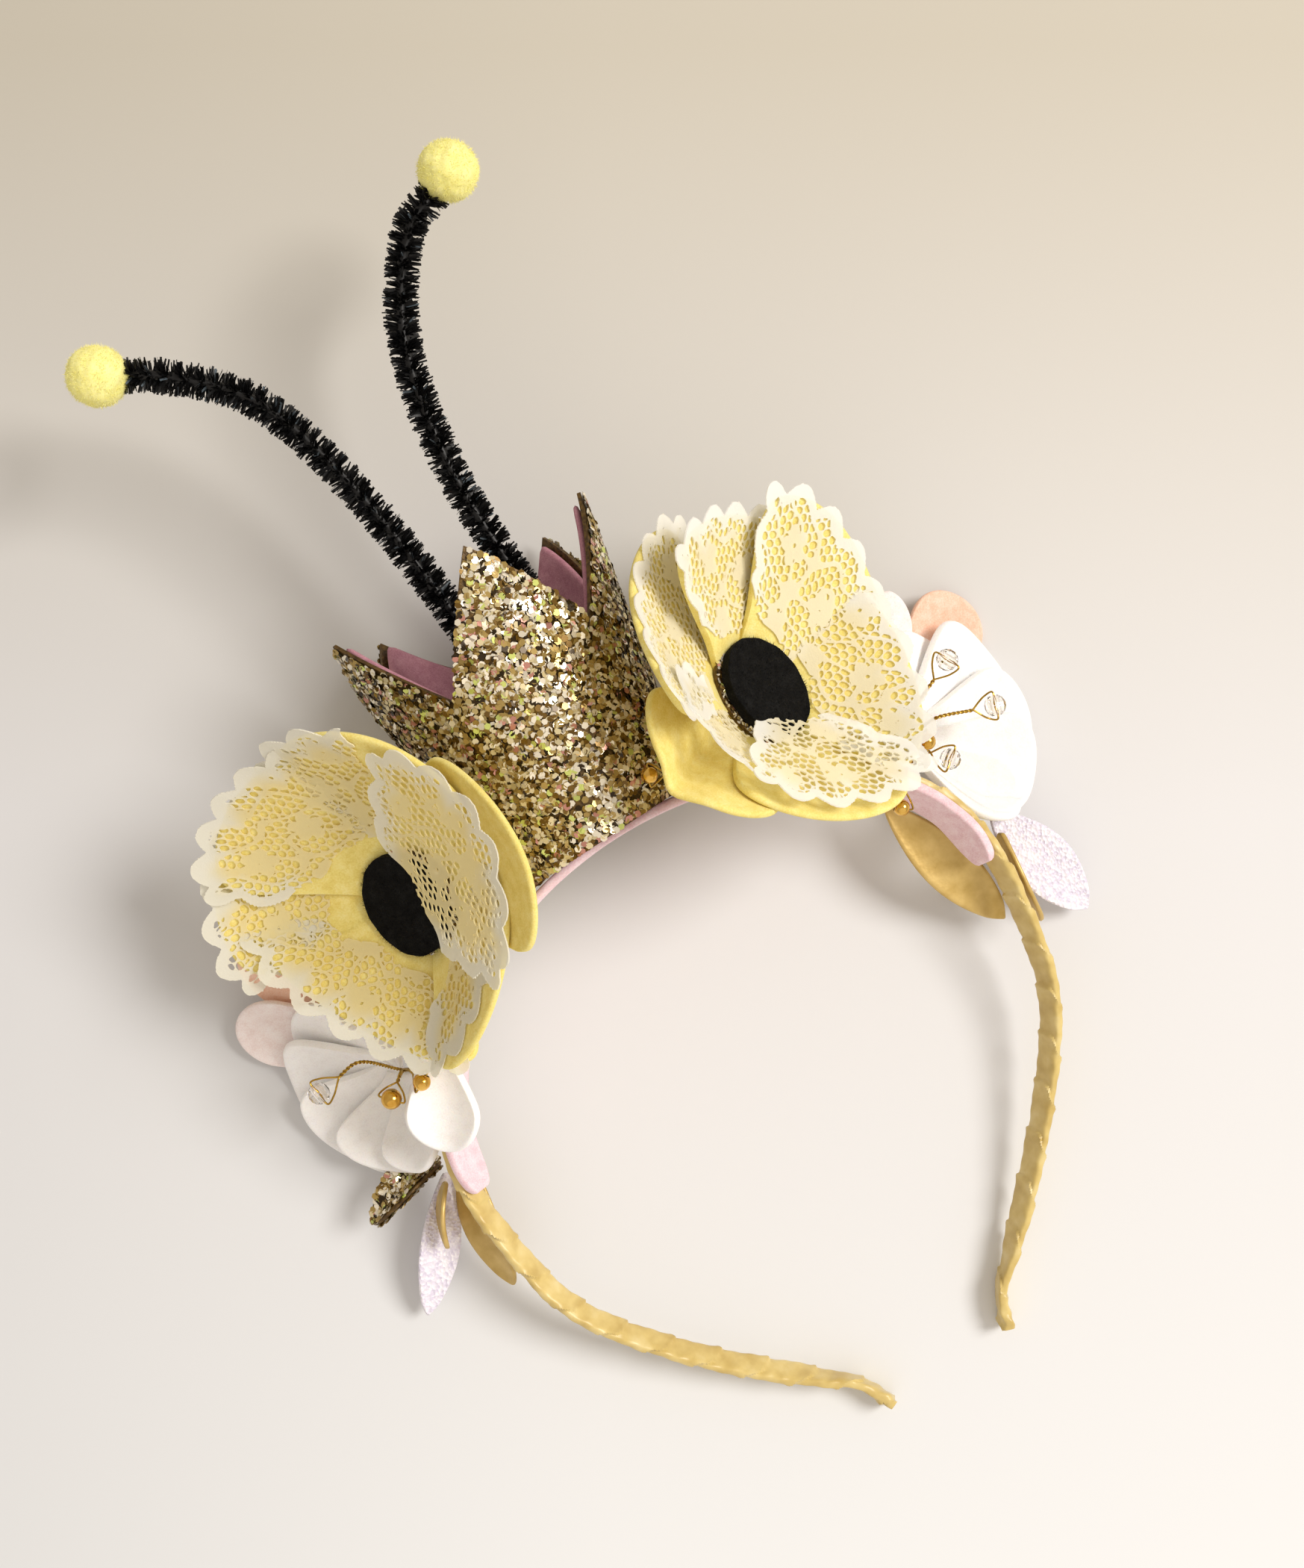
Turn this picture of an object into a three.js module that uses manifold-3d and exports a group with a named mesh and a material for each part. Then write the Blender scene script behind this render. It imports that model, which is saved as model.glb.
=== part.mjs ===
// A child's bee headband, lying on its back: a ribbon-wound arch with a felt strip under it,
// a lined five-point crown, two chenille antennae, two large lace flowers with black centres,
// and small flowers, stamens and leaves at both ends. Millimetres, +Z up from the floor,
// +Y from the tips of the arch to the antennae.
import * as THREE from 'three';
import { mergeVertices } from 'three/addons/utils/BufferGeometryUtils.js';
import Module from 'manifold-3d';

const wasm = await Module();
wasm.setup();

// Clearance between pieces that touch on the real object, and the smallest edge that a join leaves.
const GAP = 0.35;
const SLIVER = 0.02;

// The layout was read from above, on a plane at one height: a place at another height lies
// nearer to, or further from, the foot of the eye.
const EYE_HEIGHT = 430;
const READ_HEIGHT = 25;
const EYE_X = 13;

// The arch: half its width at each distance from the apex, then a half ellipse.
const ARCH_HALF_WIDTH = 63.9;
const ARCH_SHOULDER_Y = -50;
const ARCH_APEX_Y = -1.5;
const ARCH_APEX_Z = 27;
const ARCH_SLOPE = 0.184;
const ARCH_LEG = [
  { half: 62.9, y: -66 },
  { half: 60.3, y: -79.5 },
  { half: 56, y: -88.5 },
  { half: 50, y: -97 },
  { half: 43.5, y: -105 },
  { half: 34.7, y: -114.5 },
  { half: 24, y: -125 },
  { half: 17.5, y: -131.5 },
  { half: 14.5, y: -138.6 },
];
const LEG_SKEW = { start: -40, span: 70, shift: -2.4 };

// The ribbon-wound band and the felt strip on its inner side.
const BAND = { width: 5.5, thickness: 2, chamfer: 0.5, turns: 28, ruffle: 0.07 };
const LEG_TWIST = 32;
const STRIP = { width: 18, thickness: 2, endY: -50, stations: 17, wave: 0.6 };

// The crown: a flared ring on an axis along +Y that leans sideways.
const CROWN = {
  baseY: -3.8, axisZ: 28.2, baseRadius: 19.5, topRadius: 30.5, notch: 37, peak: 60,
  points: 5, turn: 10, lean: 0.05, columns: 6, rows: 2,
};
const GLITTER_WALL = 1;
const LINING_WALL = 1.5;

// Chenille stems and the felt balls at their ends.
const STEM = { radius: 3.5, lobe: 0.45, sides: 8, stations: 19, twistTurns: 9 };
const BALL_RADIUS = 5.9;
const ANTENNAE = [
  {
    side: 'left',
    ball: { x: -35, y: 130.5, z: 40 },
    route: [
      { x: -3.6, y: -0.1, z: 27 }, { x: -2.5, y: 24, z: 28 }, { x: -1.5, y: 50, z: 31 },
      { x: -5.5, y: 90, z: 35 }, { x: -12, y: 110, z: 37 }, { x: -25, y: 124, z: 39 },
    ],
  },
  {
    side: 'right',
    ball: { x: 47, y: 126, z: 40 },
    route: [
      { x: 8.2, y: -0.3, z: 27 }, { x: 12, y: 22, z: 28 }, { x: 13.2, y: 45, z: 31 },
      { x: 14.5, y: 78, z: 34 }, { x: 21.5, y: 104, z: 36 }, { x: 34, y: 120.5, z: 39 },
    ],
  },
];

// The large flowers. Each petal turns about the flower's axis, reaches out from it and rises;
// its lace covers the felt between two fractions of its half width.
const FELT_WALL = 1.4;
const LACE_WALL = 1;
const PETAL = { root: 3, rootWidth: 0.2, tipRound: 0.3, twist: 16, cup: 0.12, columns: 4, rows: 4 };
const LACE = { startRadius: 13, lift: 0.85, overhang: 1.07, scallops: 4, scallopDepth: 2, columns: 8, rows: 3 };
const DISC = { radius: 10.6, thickness: 2.2, rimWidth: 0.9, rimThickness: 1, seat: 4.8, sides: 18 };
const FLOWERS = [
  {
    side: 'left', tilt: -42, hub: { x: -36.3, y: 6.8, z: 35.2 },
    petals: [
      { turn: 50, reach: 41, rise: 17, width: 36, laceFrom: 0.1, laceTo: 1 },
      { turn: 97, reach: 37, rise: 18, width: 40, laceFrom: -0.95, laceTo: 1 },
      { turn: 133, reach: 37, rise: 19, width: 42, laceFrom: -0.95, laceTo: 1 },
      { turn: 212, reach: 26, rise: 17, width: 46, laceFrom: -0.45, laceTo: 1 },
      { turn: 303, reach: 29, rise: 15, width: 37, laceFrom: -1, laceTo: 1 },
      { turn: 0, reach: 41, rise: 12, width: 34, laceFrom: -0.8, laceTo: 0.7 },
    ],
  },
  {
    side: 'right', tilt: 48, hub: { x: 38.2, y: 3.4, z: 32.1 },
    petals: [
      { turn: 25, reach: 32, rise: 22, width: 42, laceFrom: -1, laceTo: 1 },
      { turn: 74, reach: 33, rise: 18, width: 42, laceFrom: -0.95, laceTo: 1 },
      { turn: 130, reach: 38, rise: 11, width: 38, laceFrom: -0.95, laceTo: 1 },
      { turn: 190, reach: 39, rise: 6, width: 28, laceFrom: -1, laceTo: 0.1 },
      { turn: 246, reach: 33, rise: 16, width: 38, laceFrom: -1, laceTo: 1 },
      { turn: 332, reach: 28, rise: 21, width: 35, laceFrom: -1, laceTo: 1 },
    ],
  },
];

// The white flowers: a fan of cupped petals on the outer side of the strip, with small coloured
// petals under their upper ends.
const WHITE_WALL = 1.6;
const OUTER_WALL = 1.1;
const WHITE_PETAL = { root: 1, rootWidth: 0.35, tipRound: 0.28, cup: 0.3, columns: 4, rows: 3 };
const OUTER_PETAL = { ...WHITE_PETAL, rootWidth: 0.15, twist: 0, cup: 0.15, start: 0.42 };
const WHITE_FLOWERS = [
  {
    side: 'left', tilt: -40, twist: -10, hub: { x: -62.2, y: -21, z: 12.2 },
    petals: [
      { turn: 0, reach: 12, rise: 7, width: 12 },
      { turn: 128, reach: 25, rise: 7, width: 18 },
      { turn: 163, reach: 27, rise: 8, width: 20 },
      { turn: 201, reach: 25, rise: 8.2, width: 20 },
      { turn: 240, reach: 19, rise: 9, width: 18 },
      { turn: 272, reach: 18.5, rise: 10.5, width: 15 },
    ],
    outer: [
      { name: 'petal_peach_left', finish: 'peach', turn: 107, reach: 37, rise: 11, width: 12, drop: -0.7 },
      { name: 'petal_pink_left', finish: 'palePink', turn: 143, reach: 35, rise: 14.8, width: 13, drop: 1.1 },
    ],
  },
  {
    side: 'right', tilt: 40, twist: 10, hub: { x: 62.2, y: -22, z: 12.2 },
    petals: [
      { turn: 180, reach: 12, rise: 7, width: 12 },
      { turn: 268, reach: 26, rise: 11, width: 16 },
      { turn: 300, reach: 28, rise: 10, width: 19 },
      { turn: 332, reach: 28, rise: 8, width: 20 },
      { turn: 6, reach: 27, rise: 8, width: 20 },
      { turn: 42, reach: 22, rise: 7, width: 18 },
    ],
    outer: [
      { name: 'petal_peach_right', finish: 'peach', turn: 32, reach: 29, rise: 10, width: 12, drop: 0.45 },
      { name: 'petal_pink_right', finish: 'palePink', turn: 70, reach: 30, rise: 10, width: 10, drop: -0.8 },
    ],
  },
];

// Stamens: gold wire from a foot on a flower to a drilled bead or a cut crystal.
const WIRE_RADIUS = 0.5;
const WIRE_SIDES = 5;
const WIRE_STEPS = 4;
const WIRE_FOOT = 1.3;
const BORE_RADIUS = 0.95;
const BEAD_SIDES = 8;
const STAMENS = [
  {
    name: 'left', foot: { x: -63.9, y: -21, z: 14.2 },
    ends: [
      { bead: 'crystal', radius: 2.3, x: -77.5, y: -15, z: 24, via: { x: -68, y: -14, z: 24 } },
      { bead: 'gold', radius: 2.1, x: -66, y: -24, z: 30, via: { x: -62, y: -21, z: 26 } },
      { bead: 'gold', radius: 1.8, x: -59, y: -24.5, z: 33, via: { x: -59.5, y: -21.5, z: 28 } },
    ],
  },
  {
    name: 'right', foot: { x: 63.9, y: -22, z: 14.2 },
    ends: [
      { bead: 'crystal', radius: 2.3, x: 76.5, y: -12, z: 24, via: { x: 66, y: -16.5, z: 23 } },
      { bead: 'crystal', radius: 2.3, x: 79.5, y: -25, z: 22, via: { x: 68, y: -20.5, z: 24 } },
      { bead: 'gold', radius: 1.8, x: 64, y: -23.5, z: 31, via: { x: 61.5, y: -22, z: 25 } },
      { bead: 'crystal', radius: 2.2, x: 66, y: -29, z: 27, via: { x: 62.5, y: -24.5, z: 24 } },
      { bead: 'gold', radius: 1.8, x: 58, y: -24, z: 35, via: { x: 60, y: -22, z: 28 } },
      { bead: 'gold', radius: 1.7, x: 52.4, y: -31.8, z: 31, via: { x: 58, y: -25.5, z: 33 } },
    ],
  },
  {
    name: 'crown_left', foot: { x: -25, y: -5, z: 33 },
    ends: [
      { bead: 'gold', radius: 1.7, x: -20, y: 5, z: 42, via: { x: -23, y: 1, z: 39 } },
      { bead: 'gold', radius: 1.7, x: -25.5, y: 19.5, z: 38, via: { x: -25.5, y: 8, z: 36 } },
    ],
  },
  {
    name: 'crown_right', foot: { x: 24, y: -4.7, z: 33 },
    ends: [
      { bead: 'gold', radius: 1.8, x: 22.5, y: 13.7, z: 42, via: { x: 23, y: 5, z: 38 } },
      { bead: 'gold', radius: 1.7, x: 13.5, y: 1.8, z: 47, via: { x: 19.5, y: -1, z: 42 } },
    ],
  },
];

// Leaves: flat pieces from a root to a tip, rolled about that line.
const LEAF_WALL = 1.1;
const LEAF_GRID = { columns: 4, rows: 4 };
const LEAVES = [
  {
    name: 'leaf_gold_large_right', width: 11, roll: 8, bow: 2, finish: 'goldLeaf',
    root: { x: 48, y: -31, z: 9.9 }, tip: { x: 57.5, y: -62, z: 6 },
  },
  {
    name: 'leaf_gold_small_right', width: 9, roll: 66, bow: 1.5, finish: 'goldLeaf',
    root: { x: 66.3, y: -47, z: 14 }, tip: { x: 63.5, y: -66.5, z: 10 },
  },
  {
    name: 'leaf_white_right', width: 13, roll: -8, bow: 1.5, finish: 'whiteLeaf',
    root: { x: 67, y: -43, z: 10.8 }, tip: { x: 72.5, y: -69.5, z: 4 },
  },
  {
    name: 'leaf_glitter_left', width: 8, roll: 60, bow: 3, finish: 'glitter',
    root: { x: -64.6, y: -39.7, z: 11.8 }, tip: { x: -83, y: -43.2, z: 11.8 },
  },
  {
    name: 'leaf_white_left', width: 9, roll: 14, bow: 1.5, finish: 'whiteLeaf',
    root: { x: -64.8, y: -42.5, z: 7.6 }, tip: { x: -84, y: -64.5, z: 4 },
  },
  {
    name: 'leaf_edge_left', width: 8, roll: 76, bow: 1, finish: 'goldLeaf',
    root: { x: -66, y: -44, z: 13 }, tip: { x: -73.2, y: -55.5, z: 12 },
  },
  {
    name: 'leaf_curled_left', width: 11, roll: 38, bow: 2, finish: 'goldLeaf',
    root: { x: -59.6, y: -41, z: 10 }, tip: { x: -66, y: -69, z: 6 },
  },
];

const finish = (color, roughness, metalness = 0) =>
  new THREE.MeshStandardMaterial({ color, roughness, metalness });
const FINISHES = {
  satin: finish(0xc9ad6a, 0.4),
  pinkFelt: finish(0xe3c3d3, 0.95),
  glitter: finish(0xb89a5c, 0.35, 0.6),
  chenille: finish(0x0b0b0d, 0.6),
  lemonFelt: finish(0xf2ee8e, 0.95),
  yellowFelt: finish(0xefdd7c, 0.95),
  lace: finish(0xe6e6cc, 0.85),
  blackFelt: finish(0x0a0a0a, 0.97),
  whiteFelt: finish(0xf4f1ee, 0.95),
  peach: finish(0xe9b79c, 0.95),
  palePink: finish(0xf6dcd6, 0.95),
  goldLeaf: finish(0xc0a35c, 0.45, 0.3),
  whiteLeaf: finish(0xe9e4f0, 0.5),
  wire: finish(0x9a7b2c, 0.35, 1),
  goldBead: finish(0xc9962a, 0.25, 1),
  crystal: finish(0xf1efe8, 0.05),
};

const radians = THREE.MathUtils.degToRad;
const smooth = (t) => THREE.MathUtils.smoothstep(t, 0, 1);

function place({ x, y, z }) {
  const scale = (EYE_HEIGHT - z) / (EYE_HEIGHT - READ_HEIGHT);
  return new THREE.Vector3(EYE_X + (x - EYE_X) * scale, y * scale, z);
}

// Solids from points and triangles, turned so that their faces point out.
function closedGeometry(points, faces) {
  let volume = 0;
  const cross = new THREE.Vector3();
  for (const [a, b, c] of faces) {
    volume += points[a].dot(cross.crossVectors(points[b], points[c]));
  }
  const turned = volume < 0 ? faces.map(([a, b, c]) => [a, c, b]) : faces;
  const geometry = new THREE.BufferGeometry();
  const positions = points.flatMap((p) => [p.x, p.y, p.z]);
  geometry.setAttribute('position', new THREE.Float32BufferAttribute(positions, 3));
  geometry.setIndex(turned.flat());
  geometry.computeVertexNormals();
  return geometry;
}

function bridge(faces, near, far, count, wraps) {
  const last = wraps ? count : count - 1;
  for (let i = 0; i < last; i += 1) {
    const next = (i + 1) % count;
    faces.push([near + i, near + next, far + next], [near + i, far + next, far + i]);
  }
}

// Rings in a row make a rod with capped ends, or a loop where the last ring meets the first.
function ringSolid(rings, loops = false) {
  const count = rings[0].length;
  const points = rings.flat();
  const faces = [];
  const spans = loops ? rings.length : rings.length - 1;
  for (let i = 0; i < spans; i += 1) {
    bridge(faces, i * count, ((i + 1) % rings.length) * count, count, true);
  }
  if (!loops) {
    for (const [ring, start, flip] of [[rings[0], 0, true], [rings.at(-1), (rings.length - 1) * count, false]]) {
      const middle = new THREE.Vector3();
      ring.forEach((p) => middle.addScaledVector(p, 1 / count));
      points.push(middle);
      const hub = points.length - 1;
      for (let i = 0; i < count; i += 1) {
        const a = start + i;
        const b = start + ((i + 1) % count);
        faces.push(flip ? [hub, b, a] : [hub, a, b]);
      }
    }
  }
  return closedGeometry(points, faces);
}

// A sheet surface(u, v) becomes a wall between two offsets along its normal.
function sheetSolid(surface, { columns, rows }, low, high) {
  const STEP = 1e-3;
  const across = columns + 1;
  const layers = [low, high].map((offset) => {
    const layer = [];
    for (let row = 0; row <= rows; row += 1) {
      for (let column = 0; column <= columns; column += 1) {
        const u = row / rows;
        const v = (2 * column) / columns - 1;
        const point = surface(u, v);
        const along = surface(u + STEP, v).sub(surface(u - STEP, v));
        const sideways = surface(u, v + STEP).sub(surface(u, v - STEP));
        layer.push(point.addScaledVector(along.cross(sideways).normalize(), offset));
      }
    }
    return layer;
  });
  const points = layers.flat();
  const top = layers[0].length;
  const faces = [];
  for (let row = 0; row < rows; row += 1) {
    bridge(faces, row * across, (row + 1) * across, across, false);
    bridge(faces, top + (row + 1) * across, top + row * across, across, false);
    const left = row * across;
    const right = left + columns;
    faces.push([left, left + across, top + left + across], [left, top + left + across, top + left]);
    faces.push([right, top + right, top + right + across], [right, top + right + across, right + across]);
  }
  const end = rows * across;
  for (let column = 0; column < columns; column += 1) {
    const a = column;
    const b = column + 1;
    faces.push([a, top + a, top + b], [a, top + b, b]);
    faces.push([end + a, end + b, top + end + b], [end + a, top + end + b, top + end + a]);
  }
  return closedGeometry(points, faces);
}

// Joins and cuts.
function welded(geometry) {
  const bare = new THREE.BufferGeometry();
  bare.setAttribute('position', geometry.attributes.position);
  bare.setIndex(geometry.index);
  return mergeVertices(bare);
}

function solidOf(geometry) {
  const vertProperties = new Float32Array(geometry.attributes.position.array);
  const triVerts = new Uint32Array(geometry.index.array);
  return new wasm.Manifold(new wasm.Mesh({ numProp: 3, vertProperties, triVerts }));
}

function geometryOf(solid) {
  const { vertProperties, triVerts } = solid.simplify(SLIVER).getMesh();
  const geometry = new THREE.BufferGeometry();
  geometry.setAttribute('position', new THREE.Float32BufferAttribute(vertProperties, 3));
  geometry.setIndex(Array.from(triVerts));
  geometry.computeVertexNormals();
  return geometry;
}

const fused = (geometries) => geometryOf(geometries.map(solidOf).reduce((all, one) => all.add(one)));
const cutBy = (geometry, cutters) =>
  geometryOf(cutters.map(solidOf).reduce((left, cutter) => left.subtract(cutter), solidOf(geometry)));

const headband = new THREE.Group();

function addPiece(name, geometry, finishName, parent = headband) {
  const mesh = new THREE.Mesh(geometry, FINISHES[finishName]);
  mesh.name = name;
  parent.add(mesh);
  return mesh;
}

// The arch's centre line from the left tip over the apex to the right tip.
function archCurve() {
  const height = (y) =>
    Math.max(BAND.width / 2, ARCH_APEX_Z + (y - ARCH_APEX_Y) * ARCH_SLOPE);
  const skew = (y) =>
    LEG_SKEW.shift * THREE.MathUtils.clamp((LEG_SKEW.start - y) / LEG_SKEW.span, 0, 1);
  const point = (x, y) => new THREE.Vector3(x + skew(y), y, height(y));
  const left = ARCH_LEG.map(({ half, y }) => point(-half, y)).reverse();
  const right = ARCH_LEG.map(({ half, y }) => point(half, y));
  const top = [];
  const arcSteps = 12;
  for (let i = 0; i <= arcSteps; i += 1) {
    const angle = Math.PI * (1 - i / arcSteps);
    const rise = ARCH_APEX_Y - ARCH_SHOULDER_Y;
    top.push(point(ARCH_HALF_WIDTH * Math.cos(angle), ARCH_SHOULDER_Y + rise * Math.sin(angle)));
  }
  return new THREE.CatmullRomCurve3([...left, ...top, ...right], false, 'centripetal');
}

// Place and axes of the band's section: its face turns up on the legs and stands at the tips.
function archFrame(curve, t) {
  const centre = curve.getPointAt(t);
  const tangent = curve.getTangentAt(t);
  const inward = new THREE.Vector3().crossVectors(tangent, new THREE.Vector3(0, 0, 1)).normalize();
  const fromApex = Math.abs(t - 0.5) * 2;
  const twist = radians(LEG_TWIST) * smooth((fromApex - 0.15) / 0.35) * (1 - smooth((fromApex - 0.86) / 0.1));
  const up = new THREE.Vector3(0, 0, 1);
  const face = inward.clone().multiplyScalar(Math.cos(twist)).addScaledVector(up, Math.sin(twist));
  const edge = up.multiplyScalar(Math.cos(twist)).addScaledVector(inward, -Math.sin(twist));
  return { centre, face, edge };
}

function sectionRing({ centre, face, edge }, width, thickness, chamfer, offset = 0) {
  const w = width / 2;
  const h = thickness / 2;
  const corners = [
    [w, h - chamfer], [w - chamfer, h], [chamfer - w, h], [-w, h - chamfer],
    [-w, chamfer - h], [chamfer - w, -h], [w - chamfer, -h], [w, chamfer - h],
  ];
  return corners.map(([along, out]) =>
    centre.clone().addScaledVector(edge, along).addScaledVector(face, out + offset));
}

const arch = archCurve();

function bandSolid(clearance) {
  const rings = [];
  const stations = BAND.turns * 2;
  for (let i = 0; i <= stations; i += 1) {
    const swell = i % 2 === 1 && i > 2 && i < stations - 2 ? 1 + BAND.ruffle : 1;
    const thickness = BAND.thickness * swell + 2 * clearance;
    rings.push(sectionRing(archFrame(arch, i / stations), BAND.width + 2 * clearance, thickness, BAND.chamfer));
  }
  return ringSolid(rings);
}

// The strip reaches down both sides to the same distance from the apex.
function stripSolid(clearance) {
  const reachAt = (t) => arch.getPointAt(t).y - STRIP.endY;
  let start = 0;
  while (reachAt(start) < 0) {
    start += 0.002;
  }
  const offset = BAND.thickness / 2 * (1 + BAND.ruffle) + 1.5 * GAP + STRIP.thickness / 2;
  const rings = [];
  for (let i = 0; i <= STRIP.stations; i += 1) {
    const t = start + (1 - 2 * start) * (i / STRIP.stations);
    const width = STRIP.width + STRIP.wave * Math.sin(i * 1.9) + 2 * clearance;
    rings.push(sectionRing(archFrame(arch, t), width, STRIP.thickness + 2 * clearance, 0.4, offset));
  }
  return ringSolid(rings);
}

addPiece('wrapped_band', bandSolid(0), 'satin');
addPiece('felt_base', stripSolid(0), 'pinkFelt');

// One layer of the crown between two depths under its outer face.
function crownLayer(outer, inner, lower) {
  const columns = CROWN.points * CROWN.columns;
  const rings = [];
  for (let i = 0; i < columns; i += 1) {
    const share = Math.abs((i / CROWN.columns) % 1 - 0.5) * 2;
    const top = CROWN.notch + (CROWN.peak - CROWN.notch) * share - lower;
    const angle = radians(CROWN.turn + (360 * i) / columns);
    const at = (height, depth) => {
      const flare = (CROWN.topRadius - CROWN.baseRadius) * (height / CROWN.peak);
      const radius = CROWN.baseRadius + flare - depth;
      return new THREE.Vector3(
        radius * Math.sin(angle) + CROWN.lean * height,
        CROWN.baseY + height,
        CROWN.axisZ + radius * Math.cos(angle),
      );
    };
    const ring = [];
    for (let row = 0; row <= CROWN.rows; row += 1) {
      ring.push(at((top * row) / CROWN.rows, outer));
    }
    for (let row = CROWN.rows; row >= 0; row -= 1) {
      ring.push(at((top * row) / CROWN.rows, inner));
    }
    rings.push(ring);
  }
  return ringSolid(rings, true);
}

const archClearance = [bandSolid(GAP), stripSolid(GAP)];
const liningDepth = GLITTER_WALL + GAP;
addPiece('crown_glitter', cutBy(crownLayer(0, GLITTER_WALL, 0), archClearance), 'glitter');
addPiece(
  'crown_lining',
  cutBy(crownLayer(liningDepth, liningDepth + LINING_WALL, 0.8), archClearance),
  'pinkFelt',
);

// A chenille stem: a lobed section that turns as it follows its route.
function stemSolid(route, ball) {
  const centres = route.map(place);
  const ballCentre = place(ball);
  const toBall = ballCentre.clone().sub(centres.at(-1)).normalize();
  centres.push(ballCentre.clone().addScaledVector(toBall, -(BALL_RADIUS + GAP)));
  const curve = new THREE.CatmullRomCurve3(centres, false, 'centripetal');
  const { normals, binormals } = curve.computeFrenetFrames(STEM.stations);
  const rings = [];
  for (let i = 0; i <= STEM.stations; i += 1) {
    const centre = curve.getPointAt(i / STEM.stations);
    const ring = [];
    for (let side = 0; side < STEM.sides; side += 1) {
      const angle = 2 * Math.PI * (side / STEM.sides + (STEM.twistTurns * i) / STEM.stations / STEM.sides);
      const radius = STEM.radius - STEM.lobe * (side % 2);
      ring.push(centre.clone()
        .addScaledVector(normals[i], radius * Math.cos(angle))
        .addScaledVector(binormals[i], radius * Math.sin(angle)));
    }
    rings.push(ring);
  }
  return ringSolid(rings);
}

for (const { side, ball, route } of ANTENNAE) {
  addPiece(`antenna_stem_${side}`, stemSolid(route, ball), 'chenille');
  const felt = addPiece(`antenna_ball_${side}`, new THREE.SphereGeometry(BALL_RADIUS, 12, 8), 'lemonFelt');
  felt.position.copy(place(ball));
}

// A petal in its flower's frame: u runs from root to tip and v from edge to edge.
function petalSurface(petal, shape, { overhang = 1, scallops = 0, scallopDepth = 0, from = -1, to = 1, start = 0 }) {
  const reach = petal.reach * overhang;
  const rise = petal.rise * overhang ** 2;
  const middle = (shape.root + reach) / 2;
  const path = new THREE.QuadraticBezierCurve(
    new THREE.Vector2(shape.root, 0),
    new THREE.Vector2(middle, 0),
    new THREE.Vector2(reach, rise),
  );
  const turn = radians(petal.turn);
  const fullTwist = radians(shape.twist);
  return (u, v) => {
    const across = from + ((to - from) * (v + 1)) / 2;
    const edge = scallopDepth * Math.abs(Math.sin((Math.PI * scallops * (v + 1)) / 2)) / reach;
    const t = start + (1 - start) * u * (1 - shape.tipRound * across ** 2 + edge * u);
    const { x: radius, y: height } = path.getPoint(t);
    const fan = shape.rootWidth + (1 - shape.rootWidth) * smooth(t / 0.8) - 0.1 * smooth((t - 0.7) / 0.4);
    const sideways = across * fan * petal.width / 2;
    const twist = fullTwist * smooth(t / 0.3);
    const lift = shape.cup * Math.abs(sideways * across) + sideways * Math.sin(twist);
    const flat = new THREE.Vector3(radius, sideways * Math.cos(twist), height + lift);
    return flat.applyAxisAngle(new THREE.Vector3(0, 0, 1), turn);
  };
}

function flowerGroup({ hub, tilt }) {
  const group = new THREE.Group();
  group.position.set(hub.x, hub.y, hub.z);
  group.rotation.y = radians(tilt);
  headband.add(group);
  return group;
}

function addDisc(name, radius, thickness, seat, finishName, parent) {
  const disc = addPiece(name, new THREE.CylinderGeometry(radius, radius, thickness, DISC.sides), finishName, parent);
  disc.rotation.x = Math.PI / 2;
  disc.position.z = seat + thickness / 2;
}

for (const flower of FLOWERS) {
  const group = flowerGroup(flower);
  const half = FELT_WALL / 2;
  const felts = (room) => flower.petals.map((petal) => {
    const grown = { ...petal, width: petal.width + 2 * room, reach: petal.reach + room };
    return sheetSolid(petalSurface(grown, PETAL, {}), PETAL, -half - room, half + room);
  });
  addPiece(`felt_petals_${flower.side}`, fused(felts(0)), 'yellowFelt', group);
  const feltRoom = felts(1.3 * GAP);
  flower.petals.forEach((petal, index) => {
    const start = (LACE.startRadius - PETAL.root) / (petal.reach * LACE.overhang - PETAL.root);
    const cut = { ...LACE, start, from: petal.laceFrom, to: petal.laceTo };
    const low = half + LACE.lift;
    const lace = sheetSolid(petalSurface(petal, PETAL, cut), LACE, low, low + LACE_WALL);
    const neighbours = feltRoom.filter((_, other) => other !== index);
    addPiece(`lace_${flower.side}_${index + 1}`, cutBy(lace, neighbours), 'lace', group);
  });
  const rimRadius = DISC.radius + DISC.rimWidth;
  addDisc(`disc_rim_${flower.side}`, rimRadius, DISC.rimThickness, DISC.seat, 'glitter', group);
  const discSeat = DISC.seat + DISC.rimThickness + GAP;
  addDisc(`disc_${flower.side}`, DISC.radius, DISC.thickness, discSeat, 'blackFelt', group);
}

for (const flower of WHITE_FLOWERS) {
  const group = flowerGroup(flower);
  const half = WHITE_WALL / 2;
  const shape = { ...WHITE_PETAL, twist: flower.twist };
  const petals = flower.petals.map((petal) => sheetSolid(petalSurface(petal, shape, {}), shape, -half, half));
  group.updateMatrix();
  const toFlower = group.matrix.clone().invert();
  const archBeside = archClearance.map((geometry) => geometry.clone().applyMatrix4(toFlower));
  addPiece(`white_flower_${flower.side}`, cutBy(fused(petals), archBeside), 'whiteFelt', group);
  for (const petal of flower.outer) {
    const high = -half - GAP - petal.drop;
    const surface = petalSurface(petal, OUTER_PETAL, { start: OUTER_PETAL.start });
    addPiece(petal.name, sheetSolid(surface, OUTER_PETAL, high - OUTER_WALL, high), petal.finish, group);
  }
}

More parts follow.
